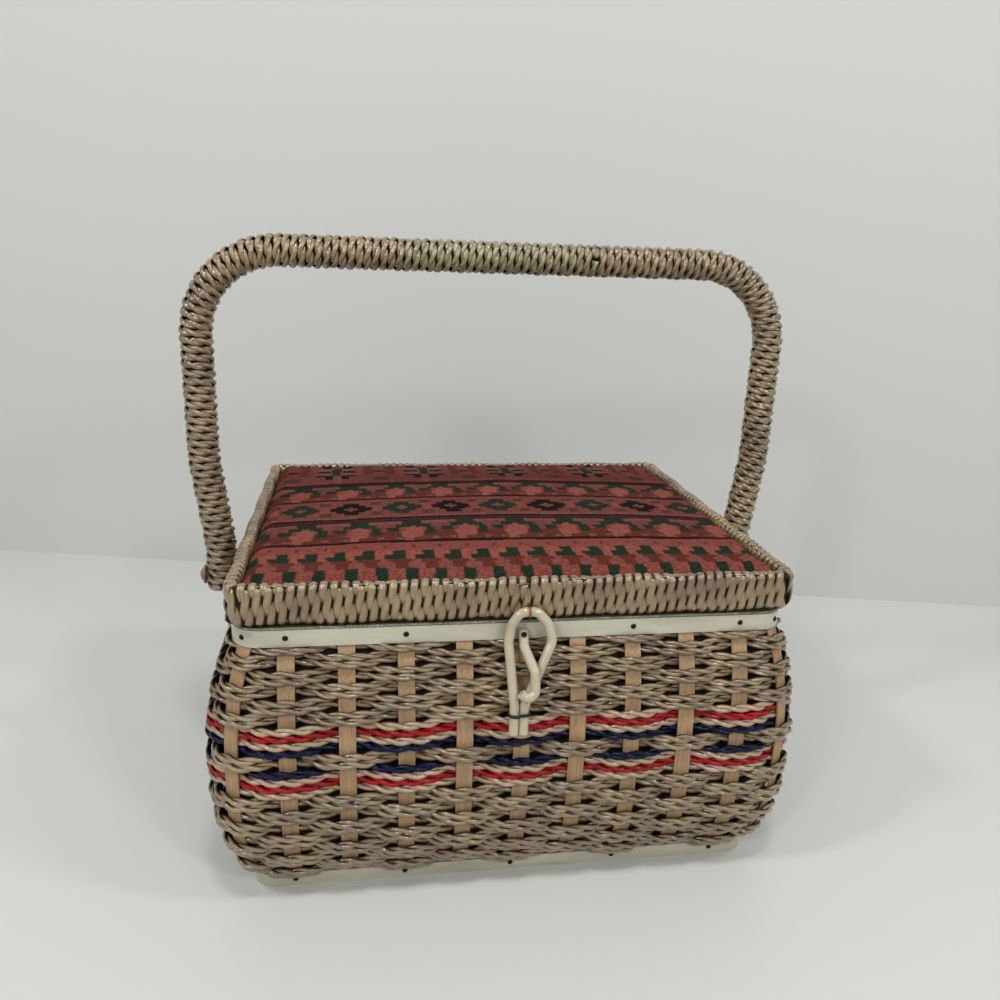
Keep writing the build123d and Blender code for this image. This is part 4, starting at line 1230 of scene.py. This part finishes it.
# ---- the hard parts and the stage ----
class BASKET_OT_hard_parts(bpy.types.Operator):
    """Finish the splints, strips, tacks, hinges, pivots and clasp"""

    bl_idname = "basket.hard_parts"
    bl_label = "Finish the hard parts"

    def execute(self, context):
        colours = context.scene.basket_colours
        # sliced wood: pores and figure run up each splint, so the grain is 40 times as long as wide
        splint = grained_finish(
            "sliced_wood_splint",
            colours.splint,
            darker(colours.splint, 0.68),
            (1.0 * MM, 1.0 * MM, 40 * MM),
            0.06 * MM,
            Roughness=0.58,
        )
        # extruded vinyl: an even gloss over slow waves left by the rollers
        vinyl = grained_finish(
            "extruded_vinyl",
            colours.vinyl,
            darker(colours.vinyl, 0.74),
            (70 * MM, 70 * MM, 14 * MM),
            1.2 * MM,
            **{"Roughness": 0.28, "Coat Weight": 0.4, "Coat Roughness": 0.15},
        )
        # clear tube gone ivory: light gets a little way in, so its edges stay soft
        tube = grained_finish(
            "ivory_vinyl_tube",
            srgb("#beb49b"),
            srgb("#ada288"),
            (25 * MM, 25 * MM, 25 * MM),
            0.1 * MM,
            **{
                "Roughness": 0.25,
                "Coat Weight": 0.5,
                "Coat Roughness": 0.1,
                "Subsurface Weight": 0.3,
                "Subsurface Scale": 2 * MM,
            },
        )
        # oxidised steel: dark metal that only glints on the tacks' round heads
        steel = plain_finish("dark_tack_steel", "#2c2620", 0.4, 1.0)
        # stamped brass: yellow metal, brushed dull by handling
        brass = plain_finish("stamped_brass", "#b99a58", 0.35, 1.0)
        # lacquer over steel: the paint's own colour and a soft shine, and no metal to be seen
        lacquered = plain_finish("tan_lacquered_steel", "#7d6a50", 0.4)
        # moulded rubber: dark and dull
        rubber = plain_finish("moulded_rubber", "#1f1d1b", 0.6)
        # bare bent wood: warm, closed and matt
        wood = plain_finish("bent_wood", "#a98556", 0.55)
        # the same wood coloured nearly black as painted shade, so that it stays dark between the turns
        # of cord wound over it
        painted_shade_wood = plain_finish("bent_wood_painted_shade", "#140c06", 0.9)
        # drawn copper: reddish metal, tarnished a little
        copper = plain_finish("copper_wire", "#9a5a3a", 0.35, 1.0)
        hinges = [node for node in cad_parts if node.startswith("hinge_")]
        for finish, *nodes in (
            (splint, "splints"),
            (vinyl, "base_strip", "top_strip"),
            (tube, "clasp_loop", "clasp_hook"),
            (steel, "base_tacks", "top_tacks", "clasp_nail"),
            (brass, *hinges),
            (lacquered, "pivot_bolts", "pivot_washers", "pivot_nuts"),
            (rubber, "pivot_spacers"),
            (wood, "top_hoop", "base_board", "lid_board"),
            (painted_shade_wood, "lid_frame", "handle_core"),
            (copper, "clasp_wire"),
        ):
            for node in nodes:
                dress(node, finish)
        return {"FINISHED"}


class BASKET_OT_stage(bpy.types.Operator):
    """Set the camera, the pale floor, the backdrop and the soft lights"""

    bl_idname = "basket.stage"
    bl_label = "Set the stage"

    def execute(self, context):
        scene = context.scene
        camera_data = bpy.data.cameras.new("view")
        camera_data.sensor_width = SENSOR
        camera_data.lens = FOCAL_SHARE * SENSOR
        camera_data.clip_start = 0.01
        camera = bpy.data.objects.new("view", camera_data)
        scene.collection.objects.link(camera)
        level = Vector((cos(CAMERA_YAW), -sin(CAMERA_YAW), 0))
        ahead = Vector((sin(CAMERA_YAW), cos(CAMERA_YAW), 0))
        forward = ahead * cos(CAMERA_PITCH) + Vector((0, 0, sin(CAMERA_PITCH)))
        upright = level.cross(forward)
        right = cos(CAMERA_ROLL) * level + sin(CAMERA_ROLL) * upright
        up = -sin(CAMERA_ROLL) * level + cos(CAMERA_ROLL) * upright
        rotation = Matrix((right, up, -forward)).transposed()
        camera.matrix_world = Matrix.Translation(CAMERA_PLACE) @ rotation.to_4x4()
        scene.camera = camera

        left, right = (BACKDROP_FOOT + BACKDROP_WAY * reach for reach in (-ROOM_REACH, ROOM_REACH))
        near = [(-ROOM_REACH, FLOOR_FRONT, 0), (ROOM_REACH, FLOOR_FRONT, 0)]
        top = [(right.x, right.y, ROOM_REACH), (left.x, left.y, ROOM_REACH)]
        for name, corners, finish in (
            ("floor", [*near, right, left], plain_finish("pale_table", "#cdcecb", 0.35)),
            ("backdrop", [left, right, *top], self.wall_finish()),
        ):
            mesh = solid_mesh(name, corners, [(0, 1, 2, 3)], smooth=False)
            new_piece(mesh, None, finish)

        world = bpy.data.worlds.new("room")
        world.use_nodes = True
        room = world.node_tree.nodes["Background"].inputs
        room["Color"].default_value = (1, 1, 1, 1)
        room["Strength"].default_value = ROOM_LIGHT
        scene.world = world
        for name, place, power in LIGHTS:
            light_data = bpy.data.lights.new(name, "AREA")
            light_data.size = LIGHT_SIZE
            light_data.energy = power
            light = bpy.data.objects.new(name, light_data)
            scene.collection.objects.link(light)
            light.location = place
            light.rotation_euler = (LIGHT_AIM - Vector(place)).to_track_quat("-Z", "Y").to_euler()
        scene.view_settings.view_transform = "Standard"
        return {"FINISHED"}

    def wall_finish(self):
        """Painted wall: matt and even, and clear from behind so that the basket's back is seen."""
        paper = empty_finish("pale_wall")
        paint = {"Base Color": srgb("#c9cac7"), "Roughness": 0.9}
        shader = add_node(paper, "ShaderNodeBsdfPrincipled", inputs=paint)
        behind = add_node(paper, "ShaderNodeNewGeometry").outputs["Backfacing"]
        clear = add_node(paper, "ShaderNodeBsdfTransparent").outputs["BSDF"]
        sides = {0: behind, 1: shader.outputs["BSDF"], 2: clear}
        mix = add_node(paper, "ShaderNodeMixShader", inputs=sides)
        surface = {"Surface": mix.outputs["Shader"]}
        add_node(paper, "ShaderNodeOutputMaterial", inputs=surface)
        return paper


class BASKET_PT_panel(bpy.types.Panel):
    """The basket's sizes, colours and pieces"""

    bl_label = "Woven sewing basket"
    bl_idname = "BASKET_PT_panel"
    bl_space_type = "VIEW_3D"
    bl_region_type = "UI"
    bl_category = "Basket"

    def draw(self, context):
        for group in (context.scene.basket_sizes, context.scene.basket_colours):
            box = self.layout.box()
            for name in group.__annotations__:
                box.prop(group, name)
        for operator in OPERATORS:
            self.layout.operator(operator.bl_idname)


OPERATORS = (
    BASKET_OT_weave,
    BASKET_OT_rim,
    BASKET_OT_handle,
    BASKET_OT_cloth,
    BASKET_OT_trims,
    BASKET_OT_hard_parts,
    BASKET_OT_stage,
)
CLASSES = (BasketSizes, BasketColours, *OPERATORS, BASKET_PT_panel)


def register():
    for item in CLASSES:
        bpy.utils.register_class(item)
    bpy.types.Scene.basket_sizes = bpy.props.PointerProperty(type=BasketSizes)
    bpy.types.Scene.basket_colours = bpy.props.PointerProperty(type=BasketColours)


def unregister():
    del bpy.types.Scene.basket_colours
    del bpy.types.Scene.basket_sizes
    for item in reversed(CLASSES):
        bpy.utils.unregister_class(item)


def main():
    register()
    for operator in OPERATORS:
        family, action = operator.bl_idname.split(".")
        getattr(getattr(bpy.ops, family), action)()
    bpy.context.view_layer.update()


if __name__ == "__main__":
    main()
